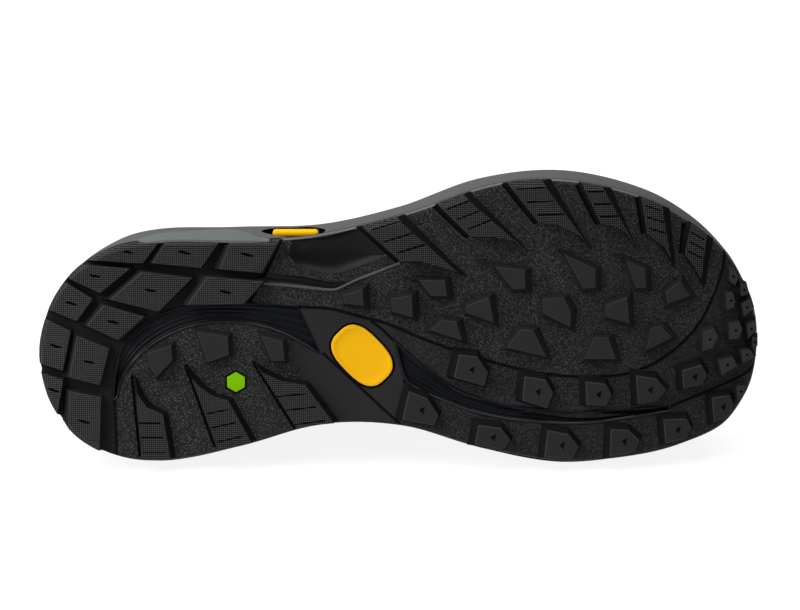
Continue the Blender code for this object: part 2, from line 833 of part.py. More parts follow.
def make_upper():
    """Hollow shell over the last, then cut open along the collar and the throat."""
    spans = np.linspace(-1, 1, 2 * UPPER_STEPS + 1)
    rows = [[upper_point(i, u) for u in spans] for i in range(STATIONS + 1)]
    upper = add_object("upper", grid_mesh("upper", rows), SHOE, FABRIC)
    solidify(upper, WALL)
    boolean(upper, add_object("collar_cut", collar_cut_mesh(), TOOLS), "DIFFERENCE")
    boolean(upper, add_object("throat_cut", throat_cut_mesh(), TOOLS), "DIFFERENCE")
    return upper


def collar_cut_mesh():
    """Everything above the collar's line, right across the shoe."""
    xs = np.linspace(COLLAR_ROWS[0][0], COLLAR_ROWS[-1][0], COLLAR_SAMPLES)
    points = []
    for x in xs:
        z = smooth(COLLAR_ROWS, x)
        points += [(x, -CUT_REACH, z), (x, CUT_REACH, z)]
        points += [(x, CUT_REACH, CUT_TOP), (x, -CUT_REACH, CUT_TOP)]
    faces = [(0, 1, 2, 3)]
    for i in range(len(xs) - 1):
        for k in range(4):
            m = (k + 1) % 4
            faces.append((4 * i + k, 4 * i + 4 + k, 4 * i + 4 + m, 4 * i + m))
    last = 4 * (len(xs) - 1)
    faces.append((last + 3, last + 2, last + 1, last))
    return mesh_from("collar_cut", points, faces)


def throat_cut_mesh():
    """Slot along the instep with a round front end."""
    front_y = upper_point(station_at(THROAT_FRONT_X), 0.0)[1]
    back_y = upper_point(station_at(THROAT_BACK_X), 0.0)[1]
    front_radius = THROAT_FRONT_WIDTH / 2
    outline = [(THROAT_BACK_X, back_y - THROAT_BACK_WIDTH / 2)]
    for turn in np.linspace(-90, 90, THROAT_ROUND_SAMPLES):
        angle = math.radians(turn)
        x = THROAT_FRONT_X - front_radius + front_radius * math.cos(angle)
        outline.append((x, front_y + front_radius * math.sin(angle)))
    outline.append((THROAT_BACK_X, back_y + THROAT_BACK_WIDTH / 2))
    count = len(outline)
    points = [(x, y, THROAT_LOW) for x, y in outline] + [(x, y, CUT_TOP) for x, y in outline]
    faces = [tuple(range(count)), tuple(range(2 * count - 1, count - 1, -1))]
    faces += [(i, (i + 1) % count, count + (i + 1) % count, count + i) for i in range(count)]
    return mesh_from("throat_cut", points, faces)


def shifted_rows(rows, distance):
    """Rows of points moved along the surface's own outward normals."""
    grid = np.array(rows)
    normals = np.cross(np.gradient(grid, axis=1), np.gradient(grid, axis=0))
    normals /= np.linalg.norm(normals, axis=2)[:, :, None]
    normals *= np.sign(normals[:, :, 2:3])
    return grid + normals * distance


def make_tongue():
    """Padded strip under the throat, a little inside the upper's wall."""
    stations = np.linspace(station_at(TONGUE_BACK_X), station_at(TONGUE_FRONT_X), TONGUE_SECTIONS)
    spans = np.linspace(-TONGUE_HALF_SPAN, TONGUE_HALF_SPAN, TONGUE_POINTS)
    rows = [[upper_point(station, u) for u in spans] for station in stations]
    surface = grid_mesh("tongue", shifted_rows(rows, -WALL - 2 * GAP).tolist())
    tongue = add_object("tongue", surface, SHOE, LINING)
    solidify(tongue, TONGUE_THICKNESS)
    return tongue


def lace_strand(name, first_side):
    """One strand that goes from side to side over the throat, eyelet by eyelet."""
    lift = LACE_RADIUS + LACE_CLEARANCE
    rows = []
    for k in np.linspace(0, EYELET_PAIRS - 1, LACE_SAMPLES * (EYELET_PAIRS - 1) + 1):
        share = k / (EYELET_PAIRS - 1)
        x = EYELET_FRONT_X + (EYELET_BACK_X - EYELET_FRONT_X) * share
        span = EYELET_FRONT_SPAN + (EYELET_BACK_SPAN - EYELET_FRONT_SPAN) * share
        side = first_side * (1 - 4 * abs((k / 2) % 1 - 0.5)) * -1
        station = station_at(x)
        near = []
        for step in (-LACE_STATION_STEP, 0.0, LACE_STATION_STEP):
            spans = (side * span - LACE_SPAN_STEP, side * span, side * span + LACE_SPAN_STEP)
            near.append([upper_point(station + step, u) for u in spans])
        rows.append(shifted_rows(near, lift)[1][1] * MM)
    curve = bpy.data.curves.new(name, "CURVE")
    curve.dimensions = "3D"
    curve.bevel_depth = LACE_RADIUS * MM
    curve.bevel_resolution = 2
    curve.use_fill_caps = True
    spline = curve.splines.new("POLY")
    spline.points.add(len(rows) - 1)
    for point, place in zip(spline.points, rows):
        point.co = (*place, 1.0)
    guide = bpy.data.objects.new(name + "_guide", curve)
    bpy.context.scene.collection.objects.link(guide)
    mesh = bpy.data.meshes.new_from_object(guide.evaluated_get(bpy.context.evaluated_depsgraph_get()))
    bpy.data.objects.remove(guide)
    shape = bmesh.new()
    shape.from_mesh(mesh)
    bmesh.ops.remove_doubles(shape, verts=shape.verts, dist=0.00001)
    bmesh.ops.recalc_face_normals(shape, faces=shape.faces)
    shape.to_mesh(mesh)
    shape.free()
    mesh.materials.clear()
    return mesh


def make_lace():
    """Two strands joined where they cross; both end at the top eyelets."""
    lace = add_object("lace", lace_strand("lace", 1), SHOE, CORD)
    boolean(lace, add_object("lace_other", lace_strand("lace_other", -1), TOOLS), "UNION")
    return lace


def evaluated_points(items):
    """Corners of finished pieces in the shoe's frame, in metres."""
    graph = bpy.context.evaluated_depsgraph_get()
    points = []
    for item in items:
        mesh = bpy.data.meshes.new_from_object(item.evaluated_get(graph))
        points += [corner.co[:] for corner in mesh.vertices]
        bpy.data.meshes.remove(mesh)
    return np.array(points)


def laid(points, lean):
    """Points turned medial side down, then leant back by an angle towards the upper."""
    angle = -(math.pi / 2 + lean)
    y = points[:, 1] * math.cos(angle) - points[:, 2] * math.sin(angle)
    z = points[:, 1] * math.sin(angle) + points[:, 2] * math.cos(angle)
    return np.column_stack([points[:, 0], y, z])


def lay_down(sole_pieces, upper_pieces):
    """Lean the shoe until sole edge and upper meet the floor, and centre it over the origin."""
    sole = evaluated_points(sole_pieces)
    upper = evaluated_points(upper_pieces)
    low = 0.0
    high = math.radians(LEAN_MOST)
    for _ in range(LEAN_HALVINGS):
        lean = (low + high) / 2
        if laid(upper, lean)[:, 2].min() > laid(sole, lean)[:, 2].min():
            low = lean
        else:
            high = lean
    box = laid(np.vstack([sole, upper]), lean)
    LYING.rotation_euler = (-(math.pi / 2 + lean), 0.0, 0.0)
    middle = (box.min(axis=0) + box.max(axis=0)) / 2
    LYING.location = (-middle[0], -middle[1], -box[:, 2].min())


clear_scene()
SHOE = new_collection("trail_shoe")
TOOLS = new_collection("cutters")
LYING = bpy.data.objects.new("lying_shoe", None)
SHOE.objects.link(LYING)

outsole = make_outsole()
midsole = make_midsole()
make_channel("heel_channel", HEEL_CHANNEL_ROWS, outsole)
make_channel("forefoot_channel", FOREFOOT_CHANNEL_ROWS, outsole)
make_badge(outsole)
make_dot(outsole)
side_inlay = make_side_bar(midsole)
make_insole()
upper = make_upper()
tongue = make_tongue()
lace = make_lace()
lay_down((outsole, midsole, side_inlay), (upper, tongue, lace))
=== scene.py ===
import json
import math

import bmesh
import bpy
import numpy as np
from mathutils import Matrix, Vector


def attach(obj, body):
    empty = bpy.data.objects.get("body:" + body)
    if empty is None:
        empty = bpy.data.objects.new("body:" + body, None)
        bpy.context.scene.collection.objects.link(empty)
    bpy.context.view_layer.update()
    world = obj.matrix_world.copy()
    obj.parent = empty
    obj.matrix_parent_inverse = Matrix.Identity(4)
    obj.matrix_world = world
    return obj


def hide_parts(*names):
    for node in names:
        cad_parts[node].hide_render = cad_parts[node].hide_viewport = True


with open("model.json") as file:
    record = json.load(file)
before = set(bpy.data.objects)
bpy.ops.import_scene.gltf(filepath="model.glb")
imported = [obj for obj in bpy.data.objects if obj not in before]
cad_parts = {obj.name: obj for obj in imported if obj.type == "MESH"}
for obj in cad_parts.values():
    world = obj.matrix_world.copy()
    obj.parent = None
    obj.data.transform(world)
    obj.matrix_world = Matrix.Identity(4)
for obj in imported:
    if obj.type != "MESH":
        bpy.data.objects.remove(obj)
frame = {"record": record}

# Camera: a long lens square to the shoe's length and a little above it, as the photo was taken. Every place
# on the tread below is given as it shows in the 800 by 610 picture, and is cast from here onto the sole.
PHOTO_CENTRE = (400.0, 305.0)
CAMERA_ELEVATION = math.radians(18.0)
CAMERA_DISTANCE = 1.3
CAMERA_LENS = 142.8
CAMERA_SENSOR = 36.0
CAMERA_TARGET = Vector((0.0001, -0.056, 0.0714))

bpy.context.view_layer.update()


def placed(name, data):
    """Object of a mesh, camera or light, put in the scene."""
    thing = bpy.data.objects.new(name, data)
    bpy.context.scene.collection.objects.link(thing)
    return thing


camera_back = Vector((0.0, -math.cos(CAMERA_ELEVATION), math.sin(CAMERA_ELEVATION)))
camera_eye = CAMERA_TARGET + camera_back * CAMERA_DISTANCE
camera_data = bpy.data.cameras.new("camera")
camera_data.lens = CAMERA_LENS
camera_data.sensor_width = CAMERA_SENSOR
camera = placed("camera", camera_data)
camera.location = camera_eye
camera.rotation_euler = (-camera_back).to_track_quat("-Z", "Y").to_euler()
bpy.context.scene.camera = camera

# Lie of the shoe: shapes are worked out in millimetres in the upright shoe's frame, x from heel to toe,
# y to the medial side and z up from the lug tops. The mount on a forefoot lug tells how it lies on the floor.
MM = 0.001
MOUNT_POINT = (202.6, 0.2, 0.0)
LENGTH = 298.6
LUG_DEPTH = 4.5
TOE_BREAK = 214.0
TOE_SPRING = 15.0
HEEL_BREAK = 30.0
HEEL_BEVEL = 5.0
ARCH_X = 128.0
ARCH_SPAN = 30.0
ARCH_RISE = 2.0
CAST_ROUNDS = 8

mount = next(row for row in frame["record"]["mounts"] if row["name"] == "forefoot_tread")
LEAN = math.atan2(mount["axis"][2], -mount["axis"][1])
SPIN = np.array(Matrix.Rotation(-(math.pi / 2 + LEAN), 3, "X"))
PLACE = np.array(mount["pos_m"]) - SPIN @ (MM * np.array(MOUNT_POINT))


def on_floor(points):
    """Points of the upright shoe in millimetres, laid down on the floor in metres."""
    return np.asarray(points, dtype=float) * MM @ SPIN.T + PLACE


def upright(points):
    """Points on the floor in metres, as millimetres of the upright shoe."""
    return (np.asarray(points, dtype=float) - PLACE) @ SPIN / MM


def spring(x):
    """Height of the lug tops: heel bevel and toe spring."""
    toe = np.maximum(0.0, (x - TOE_BREAK) / (LENGTH - TOE_BREAK))
    heel = np.maximum(0.0, (HEEL_BREAK - x) / HEEL_BREAK)
    return TOE_SPRING * toe**2 + HEEL_BEVEL * heel**2


def plate_z(x):
    """Height of the ground between the lugs."""
    return spring(x) + LUG_DEPTH + ARCH_RISE * np.exp(-(((x - ARCH_X) / ARCH_SPAN) ** 2))


def seen_at(pixels, height=spring):
    """Plan points of the sole that show at these places in the picture, on a surface z = height(x)."""
    eye = upright(camera_eye)
    scale = CAMERA_LENS / CAMERA_SENSOR * 2 * PHOTO_CENTRE[0]
    found = []
    for across, down in pixels:
        ray = Vector((across - PHOTO_CENTRE[0], PHOTO_CENTRE[1] - down, -scale))
        ray.rotate(camera.rotation_euler)
        ray = np.array(ray) @ SPIN
        z = 0.0
        for _ in range(CAST_ROUNDS):
            point = eye + ray * (z - eye[2]) / ray[2]
            z = height(point[0])
        found.append(point[:2])
    return np.array(found)


# Midsole: one moulding of foam, glued between outsole and upper. Its side wall is in two bands with a groove
# between them, grey outside with painted shade that darkens it to near black on the medial side, and a paler
# panel along the lateral heel.
OUTLINE_ROWS = (
    # x, lateral y, medial y
    (0.0, 5.0, 5.0),
    (3.0, -10.0, 22.0),
    (8.0, -20.4, 31.4),
    (17.0, -30.9, 41.0),
    (33.0, -39.7, 48.6),
    (50.0, -42.2, 50.4),
    (83.0, -42.2, 44.4),
    (117.0, -42.2, 35.4),
    (150.0, -49.6, 35.8),
    (183.0, -62.4, 44.6),
    (217.0, -66.2, 50.4),
    (250.0, -59.2, 48.2),
    (267.0, -50.6, 44.2),
    (284.0, -36.8, 37.0),
    (292.0, -24.0, 27.6),
    (296.5, -14.0, 18.0),
    (LENGTH, 1.0, 1.0),
)
OUTLINE_SAMPLES = 8
PLATE = 3.2
GAP = 0.3
MIDSOLE_TOP_ROWS = (
    # x, z
    (0.0, 36.0),
    (35.0, 33.0),
    (110.0, 31.5),
    (200.0, 27.5),
    (250.0, 28.5),
    (280.0, 32.5),
    (300.0, 37.5),
)
WALL_ROWS = (
    # share of height, offset from the outline
    (0.00, -0.6),
    (0.10, 0.9),
    (0.38, 2.2),
    (0.44, 1.0),
    (0.52, 1.0),
    (0.58, 1.9),
    (0.86, 0.8),
    (1.00, -2.0),
)
WALL_STEPS = 28
MIDSOLE_COLUMNS = 12
LATERAL_DRAW_ROWS = (
    # x, offset added
    (0.0, -3.4),
    (14.0, -3.3),
    (30.0, -2.4),
    (45.0, -0.6),
    (75.0, 0.3),
    (108.0, 1.5),
    (145.0, 1.9),
    (180.0, 1.1),
    (215.0, 0.6),
    (243.0, 0.0),
    (262.0, -0.8),
    (273.0, -1.5),
    (282.0, -2.6),
    (291.0, -3.3),
    (300.0, -3.4),
)
MEDIAL_DRAW_ROWS = (
    # x, offset added
    (0.0, -3.4),
    (14.0, -3.4),
    (30.0, -2.7),
    (46.0, -1.0),
    (60.0, -0.8),
    (90.0, -1.4),
    (125.0, -1.8),
    (160.0, -1.3),
    (185.0, -0.9),
    (203.0, -0.6),
    (217.0, -0.6),
    (230.0, -1.0),
    (243.0, -1.5),
    (262.0, -2.5),
    (280.0, -3.3),
    (300.0, -3.4),
)
FOAM_COLOUR = (0.064, 0.064, 0.0655)
# Near black painted over the medial side wall as shade, where it lies towards the floor.
FOAM_MEDIAL_SHADE_COLOUR = (0.009, 0.009, 0.0094)
FOAM_SHADE_FADE = (4.0, 24.0)
PANEL_COLOUR = (0.079, 0.0885, 0.0885)
PANEL_ROWS = (
    # x, height of the panel above the lug tops
    (30.0, 6.5),
    (38.0, 9.5),
    (47.0, 11.6),
    (60.0, 12.4),
    (84.0, 12.4),
    (92.0, 8.0),
    (99.0, 2.0),
)
PANEL_STEPS = 6
PANEL_HANG = 0.5
PANEL_PROUD = 0.3
PANEL_BACK = 1.0
MERGE = 0.01
SHARP_ANGLE = math.radians(38.0)


def hermite(t, start, end, start_slope, end_slope):
    """Cubic between two values with the given slopes, at t from 0 to 1."""
    blend = t * t * (3 - 2 * t)
    return (
        start * (1 - blend)
        + end * blend
        + start_slope * t * (1 - t) ** 2
        - end_slope * t * t * (1 - t)
    )


def smooth(rows, x, column=1):
    """Value at x of a smooth curve through a table's rows, level beyond its ends."""
    xs = np.array([row[0] for row in rows])
    values = np.array([row[column] for row in rows])
    slopes = np.gradient(values, xs)
    x = min(max(x, xs[0]), xs[-1])
    i = min(int(np.searchsorted(xs, x, side="right")) - 1, len(xs) - 2)
    span = xs[i + 1] - xs[i]
    t = (x - xs[i]) / span
    return float(hermite(t, values[i], values[i + 1], slopes[i] * span, slopes[i + 1] * span))


def outline_loop():
    """Closed curve through the outline's rows: heel tip, lateral side, toe tip, medial side."""
    lateral = [(x, y) for x, y, _ in OUTLINE_ROWS]
    medial = [(x, y) for x, _, y in OUTLINE_ROWS[1:-1]]
    loop = np.array(lateral + medial[::-1])
    padded = np.vstack([loop[-2:], loop, loop[:3]])
    knots = np.cumsum(np.sqrt(np.linalg.norm(np.diff(padded, axis=0, prepend=padded[:1]), axis=1)))
    slopes = np.gradient(padded, knots, axis=0)
    points = []
    for i in range(2, 2 + len(loop)):
        span = knots[i + 1] - knots[i]
        for step in range(OUTLINE_SAMPLES):
            t = step / OUTLINE_SAMPLES
            points.append(hermite(t, padded[i], padded[i + 1], slopes[i] * span, slopes[i + 1] * span))
    return np.array(points)


LOOP = outline_loop()
STATIONS = len(LOOP) // 2
TANGENTS = np.roll(LOOP, -1, axis=0) - np.roll(LOOP, 1, axis=0)
TANGENTS /= np.linalg.norm(TANGENTS, axis=1)[:, None]
NORMALS = np.column_stack([TANGENTS[:, 1], -TANGENTS[:, 0]])


def mesh_of(name, shape):
    """Plain mesh of an edited shape, which is freed."""
    mesh = bpy.data.meshes.new(name)
    shape.to_mesh(mesh)
    shape.free()
    return mesh


def mesh_from(name, points, faces):
    """Mesh on the floor from points of the upright shoe, with coincident points merged and faces outwards."""
    shape = bmesh.new()
    corners = [shape.verts.new(point) for point in on_floor(points)]
    for face in faces:
        shape.faces.new([corners[index] for index in face])
    bmesh.ops.remove_doubles(shape, verts=shape.verts, dist=MERGE * MM)
    bmesh.ops.dissolve_degenerate(shape, edges=shape.edges, dist=MERGE * MM / 10)
    bmesh.ops.recalc_face_normals(shape, faces=shape.faces)
    return mesh_of(name, shape)


def grid_mesh(name, rows):
    """Open surface through rows of points."""
    width = len(rows[0])
    points = [point for row in rows for point in row]
    faces = []
    for i in range(len(rows) - 1):
        for k in range(width - 1):
            corner = i * width + k
            faces.append((corner, corner + width, corner + width + 1, corner + 1))
    return mesh_from(name, points, faces)


def ring_faces(rings, count):
    """Faces of the wall between closed rings of points, one ring after another."""
    faces = []
    for low in range(0, (rings - 1) * count, count):
        for i in range(count):
            j = (i + 1) % count
            faces.append((low + i, low + j, low + count + j, low + count + i))
    return faces


def layered_mesh(name, layers, columns):
    """Closed body of rings round the shoe, from low to high, each an offset and a height along x."""
    count = 2 * STATIONS
    rings = [(LOOP + NORMALS * np.reshape(offset, (-1, 1)), height) for offset, height in layers]
    points = [(x, y, height(x)) for plan, height in rings for x, y in plan]
    faces = ring_faces(len(rings), count)
    for plan, height, base in ((*rings[0], 0), (*rings[-1], (len(rings) - 1) * count)):
        rows = [[base]]
        for i in range(1, STATIONS):
            across = np.linspace(plan[i], plan[-i], columns + 1)[1:-1]
            inner = range(len(points), len(points) + len(across))
            points += [(x, y, height(x)) for x, y in across]
            rows.append([base + i, *inner, base + count - i])
        rows.append([base + STATIONS])
        faces += [(rows[0][0], a, b) for a, b in zip(rows[1], rows[1][1:])]
        faces += [(rows[-1][0], b, a) for a, b in zip(rows[-2], rows[-2][1:])]
        for row, following in zip(rows[1:-2], rows[2:-1]):
            for k in range(columns):
                faces.append((row[k], following[k], following[k + 1], row[k + 1]))
    return mesh_from(name, points, faces)


def new_node(tree, kind, inputs=None, **settings):
    """Node of a tree with its settings and its inputs, which are values or other nodes' outputs."""
    node = tree.nodes.new(kind)
    for name, value in settings.items():
        setattr(node, name, value)
    for socket, value in (inputs or {}).items():
        if isinstance(value, bpy.types.NodeSocket):
            tree.links.new(value, node.inputs[socket])
        else:
            node.inputs[socket].default_value = value
    return node


def new_material(name, colour, roughness, specular):
    """Principled material; returns it with its node tree and shader."""
    material = bpy.data.materials.new(name)
    material.use_nodes = True
    shader = material.node_tree.nodes["Principled BSDF"]
    shader.inputs["Base Color"].default_value = (*colour, 1.0)
    shader.inputs["Roughness"].default_value = roughness
    shader.inputs["Specular IOR Level"].default_value = specular
    return material, material.node_tree, shader


def shoe_coordinates(tree):
    """Socket that gives the place on a piece in millimetres of the upright shoe."""
    if "Mapping" not in tree.nodes:
        new_node(tree, "ShaderNodeMapping", {
            "Vector": new_node(tree, "ShaderNodeTexCoord").outputs["Object"],
            "Location": -(PLACE @ SPIN) / MM,
            "Rotation": (math.pi / 2 + LEAN, 0.0, 0.0),
            "Scale": (1 / MM, 1 / MM, 1 / MM),
        })
    return tree.nodes["Mapping"].outputs["Vector"]


def add_bump(tree, shader, height, strength, depth):
    """Relief from a height socket, on top of any the shader has already; strength is a number or a socket."""
    inputs = {"Height": height, "Strength": strength, "Distance": depth * MM}
    normal = shader.inputs["Normal"]
    if normal.is_linked:
        inputs["Normal"] = normal.links[0].from_socket
    tree.links.new(new_node(tree, "ShaderNodeBump", inputs).outputs["Normal"], normal)


def noise(tree, scale):
    """Socket of a noise with a number of swells to the millimetre."""
    inputs = {"Vector": shoe_coordinates(tree), "Scale": scale}
    return new_node(tree, "ShaderNodeTexNoise", inputs).outputs["Fac"]


def ranged(tree, value, span, least=0.0):
    """Socket that goes from a least value to 1 as another goes along a span."""
    inputs = {"Value": value, "From Min": span[0], "From Max": span[1], "To Min": least}
    return new_node(tree, "ShaderNodeMapRange", inputs).outputs["Result"]


def along_axes(tree):
    """Sockets of the place on a piece along x, y and z."""
    return new_node(tree, "ShaderNodeSeparateXYZ", {"Vector": shoe_coordinates(tree)}).outputs


def two_tone(tree, shader, factor, colours):
    """Base colour that goes with a factor socket from one colour to another; either may be a socket too."""
    ends = [end if isinstance(end, bpy.types.NodeSocket) else (*end, 1.0) for end in colours]
    tone = new_node(tree, "ShaderNodeMix", {"Factor": factor, "A": ends[0], "B": ends[1]}, data_type="RGBA")
    tree.links.new(tone.outputs["Result"], shader.inputs["Base Color"])
    return tone.outputs["Result"]


def evaluated(thing):
    """Plain mesh of an object as its modifiers leave it."""
    return bpy.data.meshes.new_from_object(thing.evaluated_get(bpy.context.evaluated_depsgraph_get()))


def show(name, mesh, materials, slot, *nodes):
    """Finished piece that rides on the shoe and stands for plain solids of it."""
    piece = placed(name, mesh)
    for material in materials:
        mesh.materials.append(material)
    mesh.shade_smooth()
    mesh.set_sharp_from_angle(angle=SHARP_ANGLE)
    weighted = piece.modifiers.new("weighted", "WEIGHTED_NORMAL")
    weighted.keep_sharp = True
    piece.data = evaluated(piece)
    piece.data.name = name
    piece.modifiers.remove(weighted)
    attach(piece, "root")
    if nodes:
        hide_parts(*nodes)
    return piece


def foam_material(name, colour):
    """Matt foam with a fine skin and faint mould marks, painted darker towards the medial side as shade."""
    material, tree, shader = new_material(name, colour, roughness=0.62, specular=0.0)
    # Painted shade: the colour fades to near black towards the medial side.
    two_tone(tree, shader, ranged(tree, along_axes(tree)["Y"], FOAM_SHADE_FADE), (colour, FOAM_MEDIAL_SHADE_COLOUR))
    add_bump(tree, shader, noise(tree, 1.6), strength=0.5, depth=0.10)
    add_bump(tree, shader, noise(tree, 0.12), strength=0.3, depth=0.4)
    return material


def midsole_level(share):
    """Height along x of a share of the midsole's wall."""
    def height(x):
        bottom = plate_z(x) + PLATE + GAP
        return bottom + share * (smooth(MIDSOLE_TOP_ROWS, x) - bottom)

    return height


wall_draw = np.zeros(len(LOOP))
for i, x in enumerate(LOOP[:, 0]):
    wall_draw[i] = smooth(MEDIAL_DRAW_ROWS if NORMALS[i, 1] > 0 else LATERAL_DRAW_ROWS, x)
midsole_layers = []
for share in np.linspace(0, 1, WALL_STEPS + 1):
    midsole_layers.append((smooth(WALL_ROWS, share) + wall_draw, midsole_level(share)))
midsole_mesh = layered_mesh("midsole", midsole_layers, MIDSOLE_COLUMNS)
FOAM = foam_material("foam_grey", FOAM_COLOUR)
midsole = show("midsole_foam", midsole_mesh, [FOAM], "midsole_foam", "midsole")


def panel_row(x, y, normal, draw):
    """Section of the heel panel, from the lug tops up to its share of the wall."""
    top = spring(x) + smooth(PANEL_ROWS, x)
    bottom = midsole_level(0.0)(x)
    wall = smooth(WALL_ROWS, (top - bottom) / (midsole_level(1.0)(x) - bottom)) + draw
    low = np.array((PANEL_PROUD + min(draw, 0.0), spring(x) + PANEL_HANG))
    high = np.array((max(wall, low[0]) + PANEL_PROUD, top))
    back = np.array((PANEL_BACK, 0.0))
    section = [low - back, *np.linspace(low, high, PANEL_STEPS), high - back]
    return [(x + normal[0] * offset, y + normal[1] * offset, z) for offset, z in section]


panel_rows = []
for (x, y), normal, draw in zip(LOOP, NORMALS, wall_draw):
    if PANEL_ROWS[0][0] < x < PANEL_ROWS[-1][0] and y < 0:
        panel_rows.append(panel_row(x, y, normal, draw))
panel_mesh = grid_mesh("heel_panel", panel_rows)
show("heel_panel", panel_mesh, [foam_material("foam_panel", PANEL_COLOUR)], "midsole_foam")

# Outsole: one black rubber moulding, a plate with a curled edge. Pebbled ground, thin seams where its rubber
# fields meet, a smooth hollow over the arch and pockets for the insets are all moulded into it. Seams, slits,
# pockets and some lug walls are painted darker as shade, the pebbles' crowns are painted pale as glints, and
# the lateral edge and arch ridge are painted pale as a highlight.
FLARE_ROWS = (
    # x, how far the plate stands out beyond the outline on the lateral side
    (88.0, 0.0),
    (105.0, 1.2),
    (123.0, 2.5),
    (148.0, 3.0),
    (176.0, 1.5),
    (196.0, 1.7),
    (218.0, 0.8),
    (245.0, 0.3),
    (262.0, 0.0),
)
PLATE_EDGE_ROWS = (
    # inset from the edge, rise above the ground
    (2.4, 0.0),
    (1.5, 0.10),
    (0.8, 0.35),
    (0.25, 0.8),
    (0.0, 1.4),
)
PLATE_COLUMNS = 56
# Rise of the lateral plate edge that is painted pale as a highlight.
EDGE_HIGHLIGHT_RISE = (0.35, 1.4)
SEAM_SAMPLES = 8
POCKET_PROUD = 1.0
GROUND_COLOURS = ((0.0060, 0.0060, 0.0061), (0.0156, 0.0156, 0.0159))
LEATHER_SCALE = 1.0
LEATHER_SPAN = (0.38, 0.62)
# Pale colour painted on the pebbles' crowns as glints.
PEBBLE_GLINT_COLOUR = (0.1300, 0.1300, 0.1310)
PEBBLE_SCALE = 1.35
PEBBLE_SIZE = (0.36, 0.12)
PEBBLE_LEAST = 0.02
# Darker, non-shiny rubber painted into seams, slits, pockets and onto fin and side-lug walls as shade.
GROOVE_SHADE_COLOUR = (0.0062, 0.0062, 0.0064)
HOLLOW_COLOUR = (0.0035, 0.0035, 0.0037)
# Pale colour painted as a highlight on the lateral edge of the plate and on the arch ridge.
EDGE_HIGHLIGHT_COLOUR = (0.0450, 0.0450, 0.0460)
LUG_WALL_COLOUR = (0.0118, 0.0118, 0.0121)
# Paler colour painted on the rounded top edges of lugs as a highlight; the toe lugs' tops are in it too.
LUG_HIGHLIGHT_COLOUR = (0.0215, 0.0215, 0.0220)
LUG_TOP_COLOUR = (0.0150, 0.0150, 0.0154)
KNURL_PITCH = 0.85
# Dark painted as shade between the knurl's studs, pale painted as highlight on their crowns.
KNURL_LIT_AND_SHADED_COLOURS = ((0.0030, 0.0030, 0.0031), (0.0620, 0.0620, 0.0630))
SEAM_TABLES = (
    # radius, then each seam from end to end
    (0.7, (
        (299, 307), (330, 309), (362, 317), (391, 325), (426, 340), (482, 359), (533, 372), (584, 377),
        (630, 373), (666, 356), (696, 328), (714, 295), (723, 267), (725, 250),
    )),
    (0.65, ((323, 353), (364, 391), (404, 428))),
    (0.65, ((371, 321), (383, 330), (394, 341))),
    (0.65, ((404, 380), (407, 390), (404, 403), (396, 421))),
    (0.65, ((671, 406), (717, 387), (747, 372), (757, 360))),
    (1.3, ((281, 236), (265, 271), (247, 304))),
    (0.65, ((114, 398), (116, 430), (117, 457))),
)
ARCH_HOLLOW = (
    (291.8, 240.6), (324, 237.2), (344.3, 231.8), (356.4, 229.1), (361.8, 230.5), (387.4, 254.7),
    (384.7, 256.8), (357.7, 266.9), (338.9, 272.9), (324, 272.9), (307.9, 268.9), (295.8, 263.5),
    (289, 255.4),
)
ARCH_HOLLOW_MIDDLE = (332, 252)
ARCH_HOLLOW_RINGS = (
    # share of size, rise above the ground
    (1.00, 1.0),
    (1.00, -0.1),
    (0.92, -0.8),
    (0.76, -1.8),
    (0.50, -2.4),
    (0.20, -2.6),
    (0.02, -2.6),
)
ARCH_TROUGH = ((262, 277), (280, 279), (300, 281.5), (320, 285), (334, 287), (346, 283))
ARCH_TROUGH_RADIUS = 2.6
ARCH_TROUGH_DEPTH = 1.3
ARCH_TROUGH_CLEAR = 0.05
ARCH_SAMPLES = 40
ARCH_RIDGE = (
    (264, 283.4), (297, 286.4), (320, 289), (331, 289.7), (339, 288.4), (358, 279.6), (378, 271.6),
    (400, 263),
)
ARCH_RIDGE_RADIUS = 0.6
WAIST_FIELD = (
    (297, 306), (330, 309), (362, 317), (391, 325), (394, 341), (400, 362), (404, 380), (407, 390),
    (404, 403), (396, 421), (404, 432), (340, 440), (293, 364), (287, 340), (320, 353),
)
HEEL_PAD = (
    (278, 237), (262, 271), (243, 304), (224, 304), (184, 307), (156, 317), (133, 333), (120, 352),
    (115, 374), (113, 400), (116, 430), (117, 462), (60, 470), (20, 400), (20, 300), (80, 230),
    (200, 220),
)
# Fields where the pebble relief and its painted glints are stronger or weaker.
GRAIN_AND_GLINT_FIELDS = (
    # strength, corners of the field
    (0.5, (
        (279, 240), (292, 240), (289, 255), (296, 264), (308, 269), (324, 273), (339, 273), (358, 267),
        (386, 257), (396, 262), (358, 278), (338, 285), (300, 277), (268, 273),
    )),
    (0.5, (
        (262, 284), (330, 290), (400, 264), (352, 224), (440, 190), (545, 165), (660, 190), (726, 250),
        (714, 295), (696, 328), (666, 356), (630, 373), (584, 377), (533, 372), (482, 359), (426, 340),
        (391, 325), (330, 309), (246, 303),
    )),
    (1.1, (
        (119, 398), (121, 381), (140, 356), (163, 338), (193, 325), (224, 322), (257, 324), (285, 333),
        (293, 364), (340, 430), (240, 460), (150, 470), (118, 460),
    )),
    (0.3, (
        (404, 386), (428, 397), (470, 412), (520, 422), (584, 425), (668, 413), (755, 366), (740, 420),
        (600, 470), (396, 430),
    )),
    (0.15, (
        (725, 250), (714, 295), (696, 328), (666, 356), (690, 372), (668, 404), (757, 360), (770, 320),
        (750, 262),
    )),
    (0.3, (
        (395, 330), (482, 361), (533, 374), (584, 379), (630, 375), (666, 358), (690, 372), (668, 404),
        (584, 410), (508, 404), (456, 388),
    )),
)


